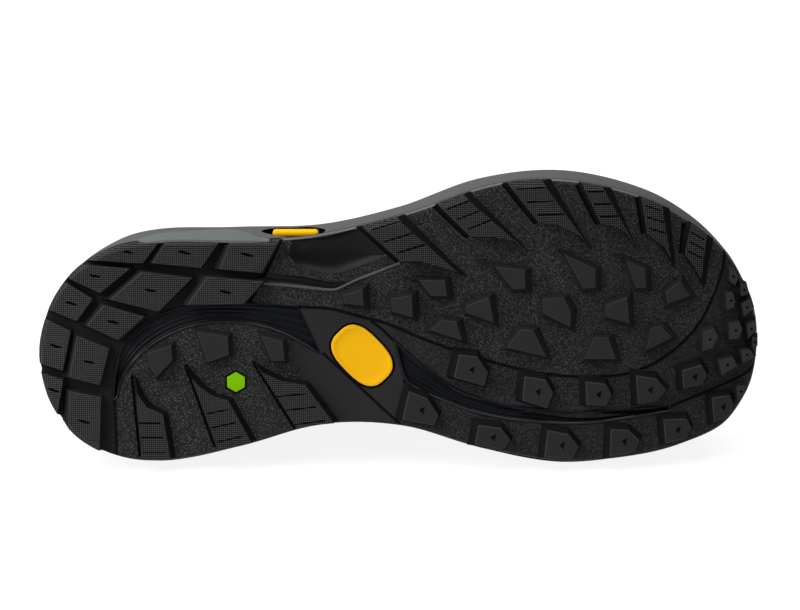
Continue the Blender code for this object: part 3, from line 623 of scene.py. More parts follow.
def smooth_path(rows, samples):
    """Points spread along a smooth curve through rows of numbers, by their number and not by length."""
    points = np.array(rows, dtype=float)
    slopes = np.gradient(points, axis=0)
    path = []
    for place in np.linspace(0, len(points) - 1, samples):
        i = min(int(place), len(points) - 2)
        path.append(hermite(place - i, points[i], points[i + 1], slopes[i], slopes[i + 1]))
    return np.array(path)


def ground_at(pixels):
    """Plan points of the ground between the lugs that show at these places in the picture."""
    return seen_at(pixels, plate_z)


def inside(points, corners):
    """Which of the plan points lie inside a closed line of corners."""
    found = np.zeros(len(points), dtype=bool)
    for (ax, ay), (bx, by) in zip(corners, np.roll(corners, -1, axis=0)):
        spans = (points[:, 1] < ay) != (points[:, 1] < by)
        rise = by - ay if by != ay else 1.0
        found ^= spans & (points[:, 0] < ax + (points[:, 1] - ay) * (bx - ax) / rise)
    return found


def capped_mesh(name, rings):
    """Closed body through rings of points, with a face over each end."""
    count = len(rings[0])
    points = [point for ring in rings for point in ring]
    ends = [tuple(range(count)), tuple(range(len(points) - count, len(points)))]
    return mesh_from(name, points, ring_faces(len(rings), count) + ends)


def prism_mesh(name, corners, low, high):
    """Closed body over a plan outline, between two heights along x."""
    count = len(corners)
    points = [(x, y, level(x)) for level in (low, high) for x, y in corners]
    ends = [tuple(range(count)), tuple(range(2 * count - 1, count - 1, -1))]
    return mesh_from(name, points, ends + ring_faces(2, count))


def ringed_mesh(name, middle, rings, outline):
    """Button shape of rings of one plan outline, each at a share of its size and a rise above the ground."""
    levels = []
    for share, rise in rings:
        levels.append([(x, y, plate_z(x) - rise) for x, y in middle + (outline - middle) * share])
    return capped_mesh(name, levels)


def carved(mesh, tools):
    """Mesh with closed tools cut out of it one after another."""
    body = placed("body", mesh)
    for tool_mesh in tools:
        tool = placed("tool", tool_mesh)
        modifier = body.modifiers.new("cut", "BOOLEAN")
        modifier.operation = "DIFFERENCE"
        modifier.solver = "EXACT"
        modifier.object = tool
        result = evaluated(body)
        body.modifiers.remove(modifier)
        body.data = result
        bpy.data.objects.remove(tool)
    result = body.data
    bpy.data.objects.remove(body)
    return result


def node_tree(name, **inputs):
    """New tree of Geometry Nodes with inputs of the given kinds; returns it with their sockets."""
    tree = bpy.data.node_groups.new(name, "GeometryNodeTree")
    for label, kind in inputs.items():
        tree.interface.new_socket(label, in_out="INPUT", socket_type="NodeSocket" + kind)
    tree.interface.new_socket("Made", in_out="OUTPUT", socket_type="NodeSocketGeometry")
    return tree, tree.nodes.new("NodeGroupInput").outputs


def end_tree(tree, geometry, material):
    """Tree that hands out what it has made, with a material."""
    realized = new_node(tree, "GeometryNodeRealizeInstances", {"Geometry": geometry})
    inputs = {"Geometry": realized.outputs["Geometry"], "Material": material}
    finish = new_node(tree, "GeometryNodeSetMaterial", inputs)
    new_node(tree, "NodeGroupOutput", {"Made": finish.outputs["Geometry"]})
    return tree


def sweep_tree():
    """Geometry Nodes that run a round bar along a line of edges."""
    tree, given = node_tree("round_bar", Line="Geometry", Radius="Float", Sides="Int", Finish="Material")
    line = new_node(tree, "GeometryNodeMeshToCurve", {"Mesh": given["Line"]})
    inputs = {"Resolution": given["Sides"], "Radius": given["Radius"]}
    section = new_node(tree, "GeometryNodeCurvePrimitiveCircle", inputs)
    inputs = {"Curve": line.outputs["Curve"], "Profile Curve": section.outputs["Curve"], "Fill Caps": True}
    bar = new_node(tree, "GeometryNodeCurveToMesh", inputs)
    return end_tree(tree, bar.outputs["Mesh"], given["Finish"])


def run_tree(tree, mesh, values):
    """Plain mesh that a tree makes of a mesh, with its inputs set by name."""
    guide = placed("guide", mesh)
    modifier = guide.modifiers.new("nodes", "NODES")
    modifier.node_group = tree
    for item in tree.interface.items_tree:
        if item.name in values and item.in_out == "INPUT":
            modifier[item.identifier] = values[item.name]
    made = evaluated(guide)
    bpy.data.objects.remove(guide)
    shape = bmesh.new()
    shape.from_mesh(made)
    bmesh.ops.remove_doubles(shape, verts=shape.verts, dist=MERGE * MM / 2)
    bmesh.ops.recalc_face_normals(shape, faces=shape.faces)
    shape.to_mesh(made)
    shape.free()
    return made


ROUND_BAR = sweep_tree()


def bar_along(points, radius, sides=8, material=None):
    """Round bar along points of the upright shoe."""
    line = bpy.data.meshes.new("line")
    edges = [(i, i + 1) for i in range(len(points) - 1)]
    line.from_pydata([tuple(point) for point in on_floor(points)], edges, [])
    return run_tree(ROUND_BAR, line, {"Radius": radius * MM, "Sides": sides, "Finish": material})


def on_plate(plan, rise=0.0):
    """Plan points lifted to the ground between the lugs."""
    return np.column_stack([plan, [plate_z(x) + rise for x, _ in plan]])


def calculated(tree, operation, *values):
    """Socket with the result of a sum on values or sockets."""
    return new_node(tree, "ShaderNodeMath", dict(enumerate(values)), operation=operation).outputs["Value"]


def ground_material():
    """Satin black rubber with pebble relief whose crowns are painted pale as glints; relief and glints are as
    strong as the mesh's attribute says.
    """
    material, tree, shader = new_material("ground_rubber", GROUND_COLOURS[0], roughness=0.42, specular=0.06)
    pebble = new_node(tree, "ShaderNodeTexVoronoi", {"Vector": shoe_coordinates(tree), "Scale": PEBBLE_SCALE})
    crown = ranged(tree, pebble.outputs["Distance"], PEBBLE_SIZE, PEBBLE_LEAST)
    grain_and_glint = new_node(tree, "ShaderNodeAttribute", attribute_name="grain_and_glint").outputs["Fac"]
    leather = ranged(tree, noise(tree, LEATHER_SCALE), LEATHER_SPAN)
    ground = two_tone(tree, shader, leather, GROUND_COLOURS)
    # Painted glints: the pebbles' crowns are mixed towards a pale colour.
    two_tone(tree, shader, calculated(tree, "MULTIPLY", crown, grain_and_glint), (ground, PEBBLE_GLINT_COLOUR))
    add_bump(tree, shader, noise(tree, 0.9), strength=0.25, depth=0.10)
    add_bump(tree, shader, crown, strength=grain_and_glint, depth=0.3)
    return material


def plain_rubber(name, colour, roughness, specular):
    """Smooth moulded rubber."""
    material, tree, shader = new_material(name, colour, roughness, specular)
    add_bump(tree, shader, noise(tree, 0.7), strength=0.25, depth=0.10)
    return material


def knurled_rubber():
    """Lug tops with a grid of fine square studs, painted pale on their crowns as highlight and dark between
    them as shade.
    """
    material, tree, shader = new_material("knurled_top", LUG_TOP_COLOUR, roughness=0.46, specular=0.06)
    places = along_axes(tree)
    waves = []
    for axis in ("X", "Y"):
        turns = calculated(tree, "MULTIPLY", places[axis], math.pi / KNURL_PITCH)
        waves.append(calculated(tree, "POWER", calculated(tree, "SINE", turns), 2.0))
    studs = calculated(tree, "MULTIPLY", *waves)
    # Painted highlight and shade: pale on the studs' crowns, dark between them.
    two_tone(tree, shader, studs, KNURL_LIT_AND_SHADED_COLOURS)
    add_bump(tree, shader, noise(tree, 0.7), strength=0.25, depth=0.10)
    add_bump(tree, shader, studs, strength=0.7, depth=0.10)
    return material


OUTSOLE_FINISHES = [
    ground_material(),
    knurled_rubber(),
    plain_rubber("plain_top", LUG_TOP_COLOUR, roughness=0.46, specular=0.06),
    plain_rubber("groove_shade_rubber", GROOVE_SHADE_COLOUR, roughness=0.6, specular=0.0),
    plain_rubber("lug_wall", LUG_WALL_COLOUR, roughness=0.5, specular=0.0),
    plain_rubber("hollow_rubber", HOLLOW_COLOUR, roughness=0.36, specular=0.10),
    plain_rubber("edge_highlight_rubber", EDGE_HIGHLIGHT_COLOUR, roughness=0.4, specular=0.3),
    plain_rubber("lug_highlight", LUG_HIGHLIGHT_COLOUR, roughness=0.5, specular=0.06),
]
GROUND, KNURLED, PLAIN, GROOVE_SHADE, LUG_WALL, HOLLOW, EDGE_HIGHLIGHT, LUG_HIGHLIGHT = range(8)


def painted(mesh, materials, number):
    """Mesh with the given materials, all its faces in one of them."""
    mesh.materials.clear()
    for material in materials:
        mesh.materials.append(material)
    mesh.polygons.foreach_set("material_index", [number] * len(mesh.polygons))
    return mesh


def finished(mesh, finish):
    """Mesh with the outsole's finishes, all its faces in one of them."""
    return painted(mesh, OUTSOLE_FINISHES, finish)


def pocket(name, outline, depth, proud=POCKET_PROUD):
    """Tool that cuts a pocket of a plan outline into the ground and stands proud of it; the cut's faces are
    painted dark as shade.
    """
    tool = prism_mesh(name, outline, lambda x: plate_z(x) - proud, lambda x: plate_z(x) + depth)
    return finished(tool, GROOVE_SHADE)


FLARE = np.array([smooth(FLARE_ROWS, x) for x in LOOP[:, 0]]) * np.clip(-NORMALS[:, 1], 0.0, 1.0)
plate_layers = []
for inset, rise in (*PLATE_EDGE_ROWS, (0.0, PLATE - GAP), (2 * GAP, PLATE)):
    plate_layers.append((FLARE - inset, lambda x, rise=rise: plate_z(x) + rise))
plate_tools = []
for radius, table in SEAM_TABLES:
    seam = ground_at(smooth_path(table, SEAM_SAMPLES * len(table)))
    # Seams are cut in the dark groove finish, painted as shade.
    plate_tools.append(finished(bar_along(on_plate(seam), radius), GROOVE_SHADE))
hollow_middle = ground_at([ARCH_HOLLOW_MIDDLE])[0]
hollow = ringed_mesh("arch_hollow", hollow_middle, ARCH_HOLLOW_RINGS, ground_at(ARCH_HOLLOW))
plate_tools.append(finished(hollow, HOLLOW))
trough_plan = ground_at(smooth_path(ARCH_TROUGH, ARCH_SAMPLES))
trough = on_plate(trough_plan, -ARCH_TROUGH_RADIUS - ARCH_TROUGH_CLEAR)
trough[:, 2] += ARCH_TROUGH_DEPTH * np.sqrt(np.sin(np.linspace(0.0, math.pi, ARCH_SAMPLES)))
plate_tools.append(finished(bar_along(trough, ARCH_TROUGH_RADIUS, sides=16), HOLLOW))
plate_mesh = finished(layered_mesh("plate", plate_layers, PLATE_COLUMNS), GROUND)

# Channels: two strips of dark blue rubber that show through slots in the outsole. Each has fine ribs along
# its sunk floor and a raised bead round its edge.
CHANNEL_DEPTH = 1.8
CHANNEL_SUNK = 0.8
CHANNEL_SAMPLES = 60
CHANNEL_RIBS = 5
CHANNEL_COLUMNS = 40
RIB_HEIGHT = 0.16
BEAD_RADIUS = 0.62
BEAD_SINK = 0.1
NAVY_COLOUR = (0.0022, 0.0028, 0.0044)
HEEL_CHANNEL_OUTER = (
    (113, 400), (115, 374), (120, 352), (133, 333), (156, 317), (184, 307), (224, 304), (262, 304),
    (297, 306),
)
HEEL_CHANNEL_INNER = (
    (117, 398), (123, 376), (140, 355), (163, 338), (192, 326), (224, 322), (257, 325), (287, 335),
    (320, 353),
)
FOREFOOT_CHANNEL_OUTER = (
    (395, 341), (407, 352), (426, 368), (456, 389), (482, 399), (508, 406), (545, 410), (584, 412),
    (668, 406),
)
FOREFOOT_CHANNEL_INNER = (
    (400, 362), (408, 382), (431, 395), (450, 403), (469, 410), (493, 416), (520, 420), (584, 423),
    (669, 411),
)


def navy_material(name, roughness, specular):
    """Dark blue rubber."""
    material, tree, shader = new_material(name, NAVY_COLOUR, roughness, specular)
    add_bump(tree, shader, noise(tree, 1.4), strength=0.35, depth=0.12)
    return material


def joined(name, meshes):
    """One mesh of several, with each one's material numbers kept."""
    shape = bmesh.new()
    for mesh in meshes:
        shape.from_mesh(mesh)
    return mesh_of(name, shape)


def channel(name, outer_table, inner_table):
    """Slot for a channel, to cut out of the plate, and the strip that lies in it."""
    outer = ground_at(smooth_path(outer_table, CHANNEL_SAMPLES))
    inner = ground_at(smooth_path(inner_table, CHANNEL_SAMPLES))
    slot = pocket(name + "_slot", np.vstack([outer, inner[::-1]]), CHANNEL_DEPTH)
    rows = []
    for a, b in zip(outer, inner):
        row = []
        for share in np.linspace(0, 1, CHANNEL_COLUMNS + 1):
            x, y = a + (b - a) * share
            rib = RIB_HEIGHT * math.cos(2 * math.pi * CHANNEL_RIBS * share)
            row.append((x, y, plate_z(x) + CHANNEL_SUNK + rib))
        rows.append(row)
    edge = on_plate(np.vstack([outer, inner[::-1], outer[:1]]), BEAD_SINK)
    bead = painted(bar_along(edge, BEAD_RADIUS), NAVY, 1)
    return slot, joined(name, [grid_mesh(name, rows), bead])


NAVY = [
    navy_material("navy_rubber", roughness=0.42, specular=0.09),
    navy_material("navy_bead", roughness=0.34, specular=0.20),
]
for node, outer, inner in (
    ("heel_channel", HEEL_CHANNEL_OUTER, HEEL_CHANNEL_INNER),
    ("forefoot_channel", FOREFOOT_CHANNEL_OUTER, FOREFOOT_CHANNEL_INNER),
):
    slot, strip = channel(node + "_strip", outer, inner)
    plate_tools.append(slot)
    show(node + "_strip", strip, NAVY, "channel_blue", node)

# Waist inset: a plain rounded piece of amber rubber with a raised rim, let into the outsole across the waist.
BADGE_MIDDLE = (362.0, 355.5)
BADGE_LENGTH = 27.4
BADGE_WIDTH = 18.4
BADGE_TURN = math.radians(46.0)
BADGE_POWER = 2.8
BADGE_SAMPLES = 64
BADGE_GAP = 0.9
BADGE_DEPTH = 1.4
BADGE_PROUD = 2.0
BADGE_RINGS = (
    # share of size, rise above the ground
    (1.00, -1.2),
    (1.00, 0.25),
    (0.985, 0.50),
    (0.93, 0.58),
    (0.88, 0.55),
    (0.84, 0.22),
    (0.60, 0.26),
    (0.30, 0.28),
    (0.02, 0.28),
)
AMBER_COLOUR = (0.62, 0.32, 0.0043)


def rounded_outline(middle, length, width, turn):
    """Plan outline of a rounded oblong."""
    angles = np.linspace(0, 2 * math.pi, BADGE_SAMPLES, endpoint=False)
    corners = np.column_stack([np.cos(angles), np.sin(angles)])
    corners = np.sign(corners) * np.abs(corners) ** (2 / BADGE_POWER) * (length / 2, width / 2)
    along = np.array((math.cos(turn), math.sin(turn)))
    across = np.array((-along[1], along[0]))
    return middle + corners[:, :1] * along + corners[:, 1:] * across


def inset_material(name, colour):
    """Satin coloured rubber."""
    material, tree, shader = new_material(name, colour, roughness=0.48, specular=0.03)
    add_bump(tree, shader, noise(tree, 0.8), strength=0.3, depth=0.12)
    return material


AMBER = inset_material("amber_rubber", AMBER_COLOUR)
badge_middle = ground_at([BADGE_MIDDLE])[0]
badge_outline = rounded_outline(badge_middle, BADGE_LENGTH, BADGE_WIDTH, BADGE_TURN)
badge_mesh = ringed_mesh("waist_inset", badge_middle, BADGE_RINGS, badge_outline)
show("waist_inset", badge_mesh, [AMBER], "amber_inset", "badge_inlay")
badge_pocket = rounded_outline(
    badge_middle, BADGE_LENGTH + 2 * BADGE_GAP, BADGE_WIDTH + 2 * BADGE_GAP, BADGE_TURN
)
plate_tools.append(pocket("badge_pocket", badge_pocket, BADGE_DEPTH, BADGE_PROUD))

# Heel dot: a plain six-sided plug of green rubber let into the pebbled heel.
DOT_MIDDLE = (236.0, 382.0)
DOT_RADIUS = 4.2
DOT_GAP = 0.9
DOT_DEPTH = 1.2
DOT_SIDES = 6
DOT_RINGS = (
    # share of size, rise above the ground
    (1.00, -1.0),
    (1.00, 0.30),
    (0.94, 0.42),
    (0.50, 0.46),
    (0.02, 0.46),
)
GREEN_COLOUR = (0.138, 0.37, 0.0005)


def dot_outline(radius):
    """Six-sided plan outline with points to both sides of the shoe."""
    turns = np.linspace(0, 2 * math.pi, DOT_SIDES, endpoint=False)
    return dot_middle + radius * np.column_stack([np.sin(turns), np.cos(turns)])


dot_middle = ground_at([DOT_MIDDLE])[0]
dot_mesh = ringed_mesh("heel_dot", dot_middle, DOT_RINGS, dot_outline(DOT_RADIUS))
show("heel_dot", dot_mesh, [inset_material("green_rubber", GREEN_COLOUR)], "green_dot", "dot_inlay")
plate_tools.append(pocket("dot_pocket", dot_outline(DOT_RADIUS + DOT_GAP), DOT_DEPTH))

# Lugs: moulded in one with the plate, each sloping out to its foot. Heel blocks and edge fins have a fine
# knurl and cut slits, cones have plain tops, and the lugs along the medial side and toe a small dimple each.
BLOCK_TABLES = (
    # corners of each block's top
    ((230.5, 240), (277, 239), (261, 272), (221, 268.5)),
    ((166, 241), (217, 240), (200.5, 267), (154, 262.5)),
    ((89, 259), (119, 246), (158, 241), (142, 262.5)),
    ((82, 265), (128, 269.5), (100, 292), (69.5, 277.5)),
    ((65.5, 284), (91, 299.5), (76.5, 320), (51.5, 310)),
    ((49.5, 321), (69.5, 332), (62, 369.5), (42, 362)),
    ((43.5, 374), (62, 380.5), (60.5, 410), (49, 397)),
    ((208, 278), (262, 282.5), (243, 303), (189, 304.5)),
    ((142.5, 273), (190, 279), (158, 310.5), (112, 299.5)),
    ((104, 306.5), (142, 317.5), (118, 339), (88.5, 325.5)),
    ((78, 337.5), (108, 349.5), (99, 384), (70.5, 377)),
    ((70.5, 392.5), (100, 398.5), (99, 450), (81.5, 440), (70, 427)),
)
FIN_TABLES = (
    # root corners, then the side towards the toe, the tip and the hollow side back to the root
    ((362, 227.5), (396, 217), (460, 274.5), (436, 265.5), (417, 260.5), (400.5, 261)),
    ((439, 207), (465.3, 197.4), (528.4, 252), (511.6, 240.5), (490.5, 236.3), (470.5, 236.3)),
    ((508.4, 184.7), (542, 182.6), (592.6, 251), (579, 235.3), (558, 224.7), (539, 222.6)),
    ((582, 187), (602.2, 187), (638, 250), (625.4, 232), (611, 225), (601, 224)),
    ((642, 200.5), (661, 207), (672.7, 263), (663.3, 246), (647.5, 234)),
    ((688.5, 227), (705, 236.5), (702, 282), (693, 264.7), (685, 255)),
)
HEEL_FIN_TABLES = (
    # root corners, then the side towards the heel, the tip and the hollow side back to the root
    ((170, 458), (142, 458), (136, 398), (134.6, 377), (138, 396), (147, 408), (162.5, 414.8)),
    (
        (250, 440), (217, 448), (195, 387), (186.6, 367.5), (192, 379.5), (200.4, 388), (212.4, 396.7),
        (228, 401),
    ),
    ((334, 425), (297, 430), (266, 380), (252.5, 363), (264, 374), (282, 382), (305, 385.5)),
)
CONE_TABLES = (
    # corners of each cone's top
    ((344, 296), (362, 290), (363, 305), (345, 303)),
    ((391.6, 299.6), (411, 296), (412, 316.6), (393, 311)),
    ((420, 280.5), (444, 281.6), (446, 295.3), (431.6, 295.3)),
    ((466.3, 306.8), (488.4, 298.4), (492.6, 321.6), (467, 312)),
    ((496, 267), (524.2, 271), (524.6, 288), (513.7, 288.5)),
    ((543.2, 299.5), (563.2, 298.4), (570, 312), (569.5, 325.8), (544.2, 313.2)),
    ((565.3, 255.3), (594.7, 270), (594.7, 287), (584.2, 288)),
    ((627.5, 261.6), (644.3, 270), (645.4, 287), (637, 287)),
    ((606.4, 305.8), (626.4, 298.4), (628.5, 322.6), (606.8, 316.3)),
    ((666.4, 293), (680, 282.6), (688.5, 295.3), (668.5, 302.6)),
    ((431.6, 330), (442, 320.5), (455.8, 322.6), (461, 339.5)),
    ((508.4, 347), (521, 330), (532.6, 331), (545.3, 356.3)),
    ((586.4, 358.4), (594.8, 338.4), (607.5, 338.4), (614.8, 358.4)),
    ((647.5, 349), (651.7, 329), (661.2, 327), (670.6, 337.4)),
)
HEEL_CONE_TABLES = (
    # corners of each cone's top
    ((148.4, 353.7), (170.3, 347), (171.5, 360), (156.5, 376), (150.5, 366.6)),
    ((198, 333), (227, 337.4), (228, 354.6), (208, 361.5)),
    ((262, 337), (282, 342.5), (283.6, 360.4), (272, 360.4)),
)
TAIL_TABLES = (
    # number of the cone, and the far end of the low blade that runs from its first corner
    (2, (400, 277)),
    (4, (469.5, 258.4)),
    (6, (553.7, 249)),
    (7, (609, 253)),
)
SIDE_LUG_TABLES = (
    # corners of each lug's top
    ((460, 355.3), (477, 357.4), (487.4, 373.2), (484.2, 385.8), (454.7, 377.4)),
    ((525.3, 377.4), (545.3, 380.5), (552.6, 393.2), (547.4, 408), (523.2, 400.5)),
    ((586.4, 382.6), (605.4, 384.7), (611, 395), (606, 406), (587.5, 404.7)),
    ((637, 376.3), (656, 379.5), (665.4, 390), (657, 400.5), (639, 403.7)),
    ((683.3, 371), (701.2, 365.8), (706.4, 375.3), (702, 384), (684.3, 388)),
    ((409.5, 392), (427.4, 399.5), (438, 416.3), (434, 425), (403, 419.5)),
    ((479, 425.8), (501, 429), (509.5, 440.5), (503.2, 449), (475.8, 444.7)),
    ((548.4, 431), (568.4, 435.3), (578, 446.8), (573, 457.5), (545.3, 457)),
    ((611.7, 430), (628.5, 431), (639, 440.5), (634.8, 451), (610.6, 456)),
    ((664.3, 420.5), (686.4, 419.5), (690.6, 428), (684.3, 438.4), (666.4, 442.6)),
    ((712.7, 398.4), (729.6, 396.3), (732.7, 404.7), (728.5, 415.3), (714.8, 421.6)),
)
TOE_LUG_TABLES = (
    # corners of each lug's top
    ((730, 269), (734.5, 269.5), (738.5, 278), (735, 285), (730, 281)),
    ((726.4, 293), (732.7, 293), (735, 300.5), (734, 307), (727.5, 310)),
    ((741, 283.5), (746, 286), (748, 294), (742, 296)),
    ((742.2, 304.7), (750, 300), (753, 308.5), (744.3, 316.3)),
    ((729.6, 323.7), (739, 321.6), (742.2, 329), (739, 338.4), (729.6, 339.5)),
    ((747.5, 324.7), (755, 322), (755.6, 330.5), (748.5, 338.4)),
    ((703.3, 333), (713.8, 329), (718, 336.3), (712.7, 348), (703.3, 351)),
    ((719, 360.5), (732.7, 357.4), (737, 365.8), (722.2, 375.3)),
    ((741, 350), (750, 350), (754.5, 357), (743.3, 362.6)),
    ((753, 337.5), (757, 338), (757, 346), (753, 347.5)),
    ((737, 387), (745, 386), (744, 395), (738, 399)),
)
LUG_KINDS = (
    # kind, corners, growth, draft, slopes added towards toe and medial side (heel and lateral if negative),
    # rounding, finish of the top, finish of the wall
    ("block", BLOCK_TABLES, 0.4, 0.5, (-2.4, 0.0), 0.35, KNURLED, LUG_WALL),
    # Fin walls are in the dark groove finish, painted as shade.
    ("fin", FIN_TABLES, 0.1, 0.3, (3.0, 0.0), 0.25, KNURLED, GROOVE_SHADE),
    ("heel fin", HEEL_FIN_TABLES, 0.1, 0.3, (1.3, 0.0), 0.25, KNURLED, GROOVE_SHADE),
    ("cone", CONE_TABLES, 0.2, 0.7, (2.0, 1.4), 0.25, PLAIN, LUG_WALL),
    ("heel cone", HEEL_CONE_TABLES, 0.3, 0.8, (0.5, 0.3), 0.25, PLAIN, LUG_WALL),
    # Side-lug walls are in the dark groove finish, painted as shade.
    ("side", SIDE_LUG_TABLES, 0.2, 0.5, (-2.0, -1.5), 0.35, PLAIN, GROOVE_SHADE),
    # Toe-lug tops are in the pale lug highlight finish.
    ("toe", TOE_LUG_TABLES, 0.1, 0.3, (-0.9, -0.5), 0.25, LUG_HIGHLIGHT, LUG_WALL),
)
SHOULDERS = {
    # kind: width of the top that falls to the outsole's edge, fall
    "block": (1.5, 0.7),
    "fin": (2.4, 1.1),
}
CUT_SIZES = {
    # kind: sides of the cut's outline, length, width, depth, turn, finish
    # Slits and the toe dimples are cut in the dark groove finish, painted as shade.
    "block": (16, 5.2, 1.1, 1.6, 12.0, GROOVE_SHADE),
    "fin": (4, 0.0, 0.55, 1.6, 0.0, GROOVE_SHADE),
    "heel fin": (4, 0.0, 0.55, 1.6, 0.0, GROOVE_SHADE),
    "side": (3, 4.0, 2.8, 1.0, 100.0, LUG_WALL),
    "toe": (12, 1.1, 1.1, 1.4, 0.0, GROOVE_SHADE),
}
FIN_CUTS = (0.13, 0.47, 0.80)
FIN_CUT_ENDS = (0.14, 0.97)
FIN_TIP_DROP = 2.4
FIN_SLOTS = {
    # kind: first and last corner it runs beside, share of the way where it starts, radius, way off the fin
    "fin": (0, -1, -0.06, 1.1, 1.3),
    "heel fin": (2, 1, -0.35, 0.9, 0.9),
}
SLOT_SAMPLES = 9
SHARPEST_CORNER = 0.5
FLATTEST_SHOULDER = 0.4
WALL_SHARE = 0.8
WALL_END = 0.9
FOOT_FLARE = 0.4
FOOT_LONGEST = 3.8
LEAST_BEND = 0.2
FOOT_SINK = 0.1
ROOT_SINK = 1.2
EDGE_BAND = 1.5
BLADE_WIDTH = 0.35
BLADE_BEND = 0.25
BLADE_DROPS = (0.3, 2.6)
BLADE_TIP_SINK = 0.2
BLADE_ROOT_SINK = 1.0
EDGE_NEARS = {"block": 3.5, "fin": 3.5, "heel fin": 3.5}
EDGE_NEAR = 0.5
EDGE_INSETS = {"heel fin": 1.2, "toe": -0.5}
EDGE_INSET = 0.2
EDGE_PARTS = 4
EDGE_STEPS = 6


def side_normals(corners):
    """Direction away from the outline of each of its sides."""
    following = np.roll(corners, -1, axis=0)
    sides = (following - corners) / np.linalg.norm(following - corners, axis=1)[:, None]
    around = np.sum(corners[:, 0] * following[:, 1] - following[:, 0] * corners[:, 1])
    return np.column_stack([sides[:, 1], -sides[:, 0]]) * math.copysign(1.0, around)


def outward(corners):
    """Direction away from the outline at each of its corners, longer where the corner is sharp."""
    after = side_normals(corners)
    before = np.roll(after, 1, axis=0)
    lean = 1 + np.sum(before * after, axis=1)
    return (before + after) / np.maximum(lean, SHARPEST_CORNER)[:, None]


def run_to_edge(corners, near, inset):
    """Corners pulled to the outsole's edge where they lie near or beyond it, with sides that follow it."""
    edge = LOOP + NORMALS * (FLARE - inset)[:, None]
    spans = zip(edge, np.roll(edge, -1, axis=0))
    edge = np.vstack([np.linspace(a, b, EDGE_PARTS, endpoint=False) for a, b in spans])
    count = len(edge)
    nearest = [int(np.argmin(np.linalg.norm(edge - corner, axis=1))) for corner in corners]
    beyond = ~inside(np.array(corners), edge)
    close = [b or np.linalg.norm(edge[n] - corner) < near for n, corner, b in zip(nearest, corners, beyond)]
    points = []
    follows = []
    for i, corner in enumerate(corners):
        points.append(edge[nearest[i]] if close[i] else corner)
        follows.append(close[i])
        j = (i + 1) % len(corners)
        if close[i] and close[j]:
            span = (nearest[j] - nearest[i] + count // 2) % count - count // 2
            steps = min(EDGE_STEPS, abs(span))
            for step in range(1, steps):
                points.append(edge[(nearest[i] + round(span * step / steps)) % count])
                follows.append(True)
    return np.array(points), np.array(follows)


def stamp_tree():
    """Geometry Nodes that set one shape at every point of a mesh, turned and sized by its attributes."""
    tree, given = node_tree("stamps", Points="Geometry", Shape="Object", Finish="Material")
    values = {}
    for name in ("turn", "size"):
        value = new_node(tree, "GeometryNodeInputNamedAttribute", {"Name": name}, data_type="FLOAT_VECTOR")
        values[name] = value.outputs["Attribute"]
    shape = new_node(tree, "GeometryNodeObjectInfo", {"Object": given["Shape"]})
    rotation = new_node(tree, "FunctionNodeEulerToRotation", {"Euler": values["turn"]})
    stamps = new_node(tree, "GeometryNodeInstanceOnPoints", {
        "Points": given["Points"],
        "Instance": shape.outputs["Geometry"],
        "Rotation": rotation.outputs["Rotation"],
        "Scale": values["size"],
    })
    return end_tree(tree, stamps.outputs["Instances"], given["Finish"])


STAMPS = stamp_tree()


def prism_shape(sides):
    """Hidden upright prism, one unit across and high, for stamps to repeat."""
    shape = bmesh.new()
    bmesh.ops.create_cone(shape, cap_ends=True, segments=sides, radius1=0.5, radius2=0.5, depth=1.0)
    if sides == 4:
        bmesh.ops.rotate(shape, verts=shape.verts, matrix=Matrix.Rotation(math.pi / 4, 3, "Z"))
        bmesh.ops.scale(shape, verts=shape.verts, vec=(math.sqrt(2), math.sqrt(2), 1.0))
    return bpy.data.objects.new("prism", mesh_of("prism", shape))


def stamped(shape, rows, material=None):
    """Mesh of one shape at each row of place, turns about x, y and z in degrees, and size."""
    points = bpy.data.meshes.new("points")
    points.from_pydata([tuple(MM * np.array(place)) for place, _, _ in rows], [], [])
    for name, column, scale in (("turn", 1, math.radians(1.0)), ("size", 2, MM)):
        values = points.attributes.new(name, "FLOAT_VECTOR", "POINT")
        values.data.foreach_set("vector", scale * np.ravel([row[column] for row in rows]))
    mesh = run_tree(STAMPS, points, {"Shape": shape, "Finish": material})
    mesh.transform(Matrix.Translation(PLACE) @ Matrix(SPIN.tolist()).to_4x4())
    return mesh


def fin_cuts(corners, width, depth):
    """Rows for the slits across a fin, side by side from its root."""
    rows = []
    reach = np.linalg.norm(corners[-1] - corners[0])
    lead = (corners[2] - corners[1]) / np.linalg.norm(corners[2] - corners[1])
    for share in FIN_CUTS:
        near = corners[0] + (corners[-1] - corners[0]) * share
        far = corners[1] + lead * reach * share
        ends = [near + (far - near) * end for end in FIN_CUT_ENDS]
        middle = (ends[0] + ends[1]) / 2
        along = ends[1] - ends[0]
        turn = math.degrees(math.atan2(along[1], along[0]))
        size = (np.linalg.norm(along), width, 2 * depth)
        rows.append(((*middle, spring(middle[0])), (0.0, 0.0, turn), size))
    return rows


def shoulder_ways(corners, at_edge, width):
    """Way in from each corner of a side along the outsole's edge to where the lug's top begins to fall."""
    normals = side_normals(corners)
    along_edge = at_edge & np.roll(at_edge, -1)
    ways = np.zeros_like(corners)
    for i in range(len(corners)):
        if along_edge[i - 1] and along_edge[i]:
            ways[i] = -width * normals[[i - 1, i]].mean(axis=0)
        elif along_edge[i - 1] or along_edge[i]:
            normal = normals[i if along_edge[i] else i - 1]
            side = corners[i - 1 if along_edge[i] else (i + 1) % len(corners)] - corners[i]
            side /= np.linalg.norm(side)
            ways[i] = side * width / max(-side @ normal, FLATTEST_SHOULDER)
    return ways


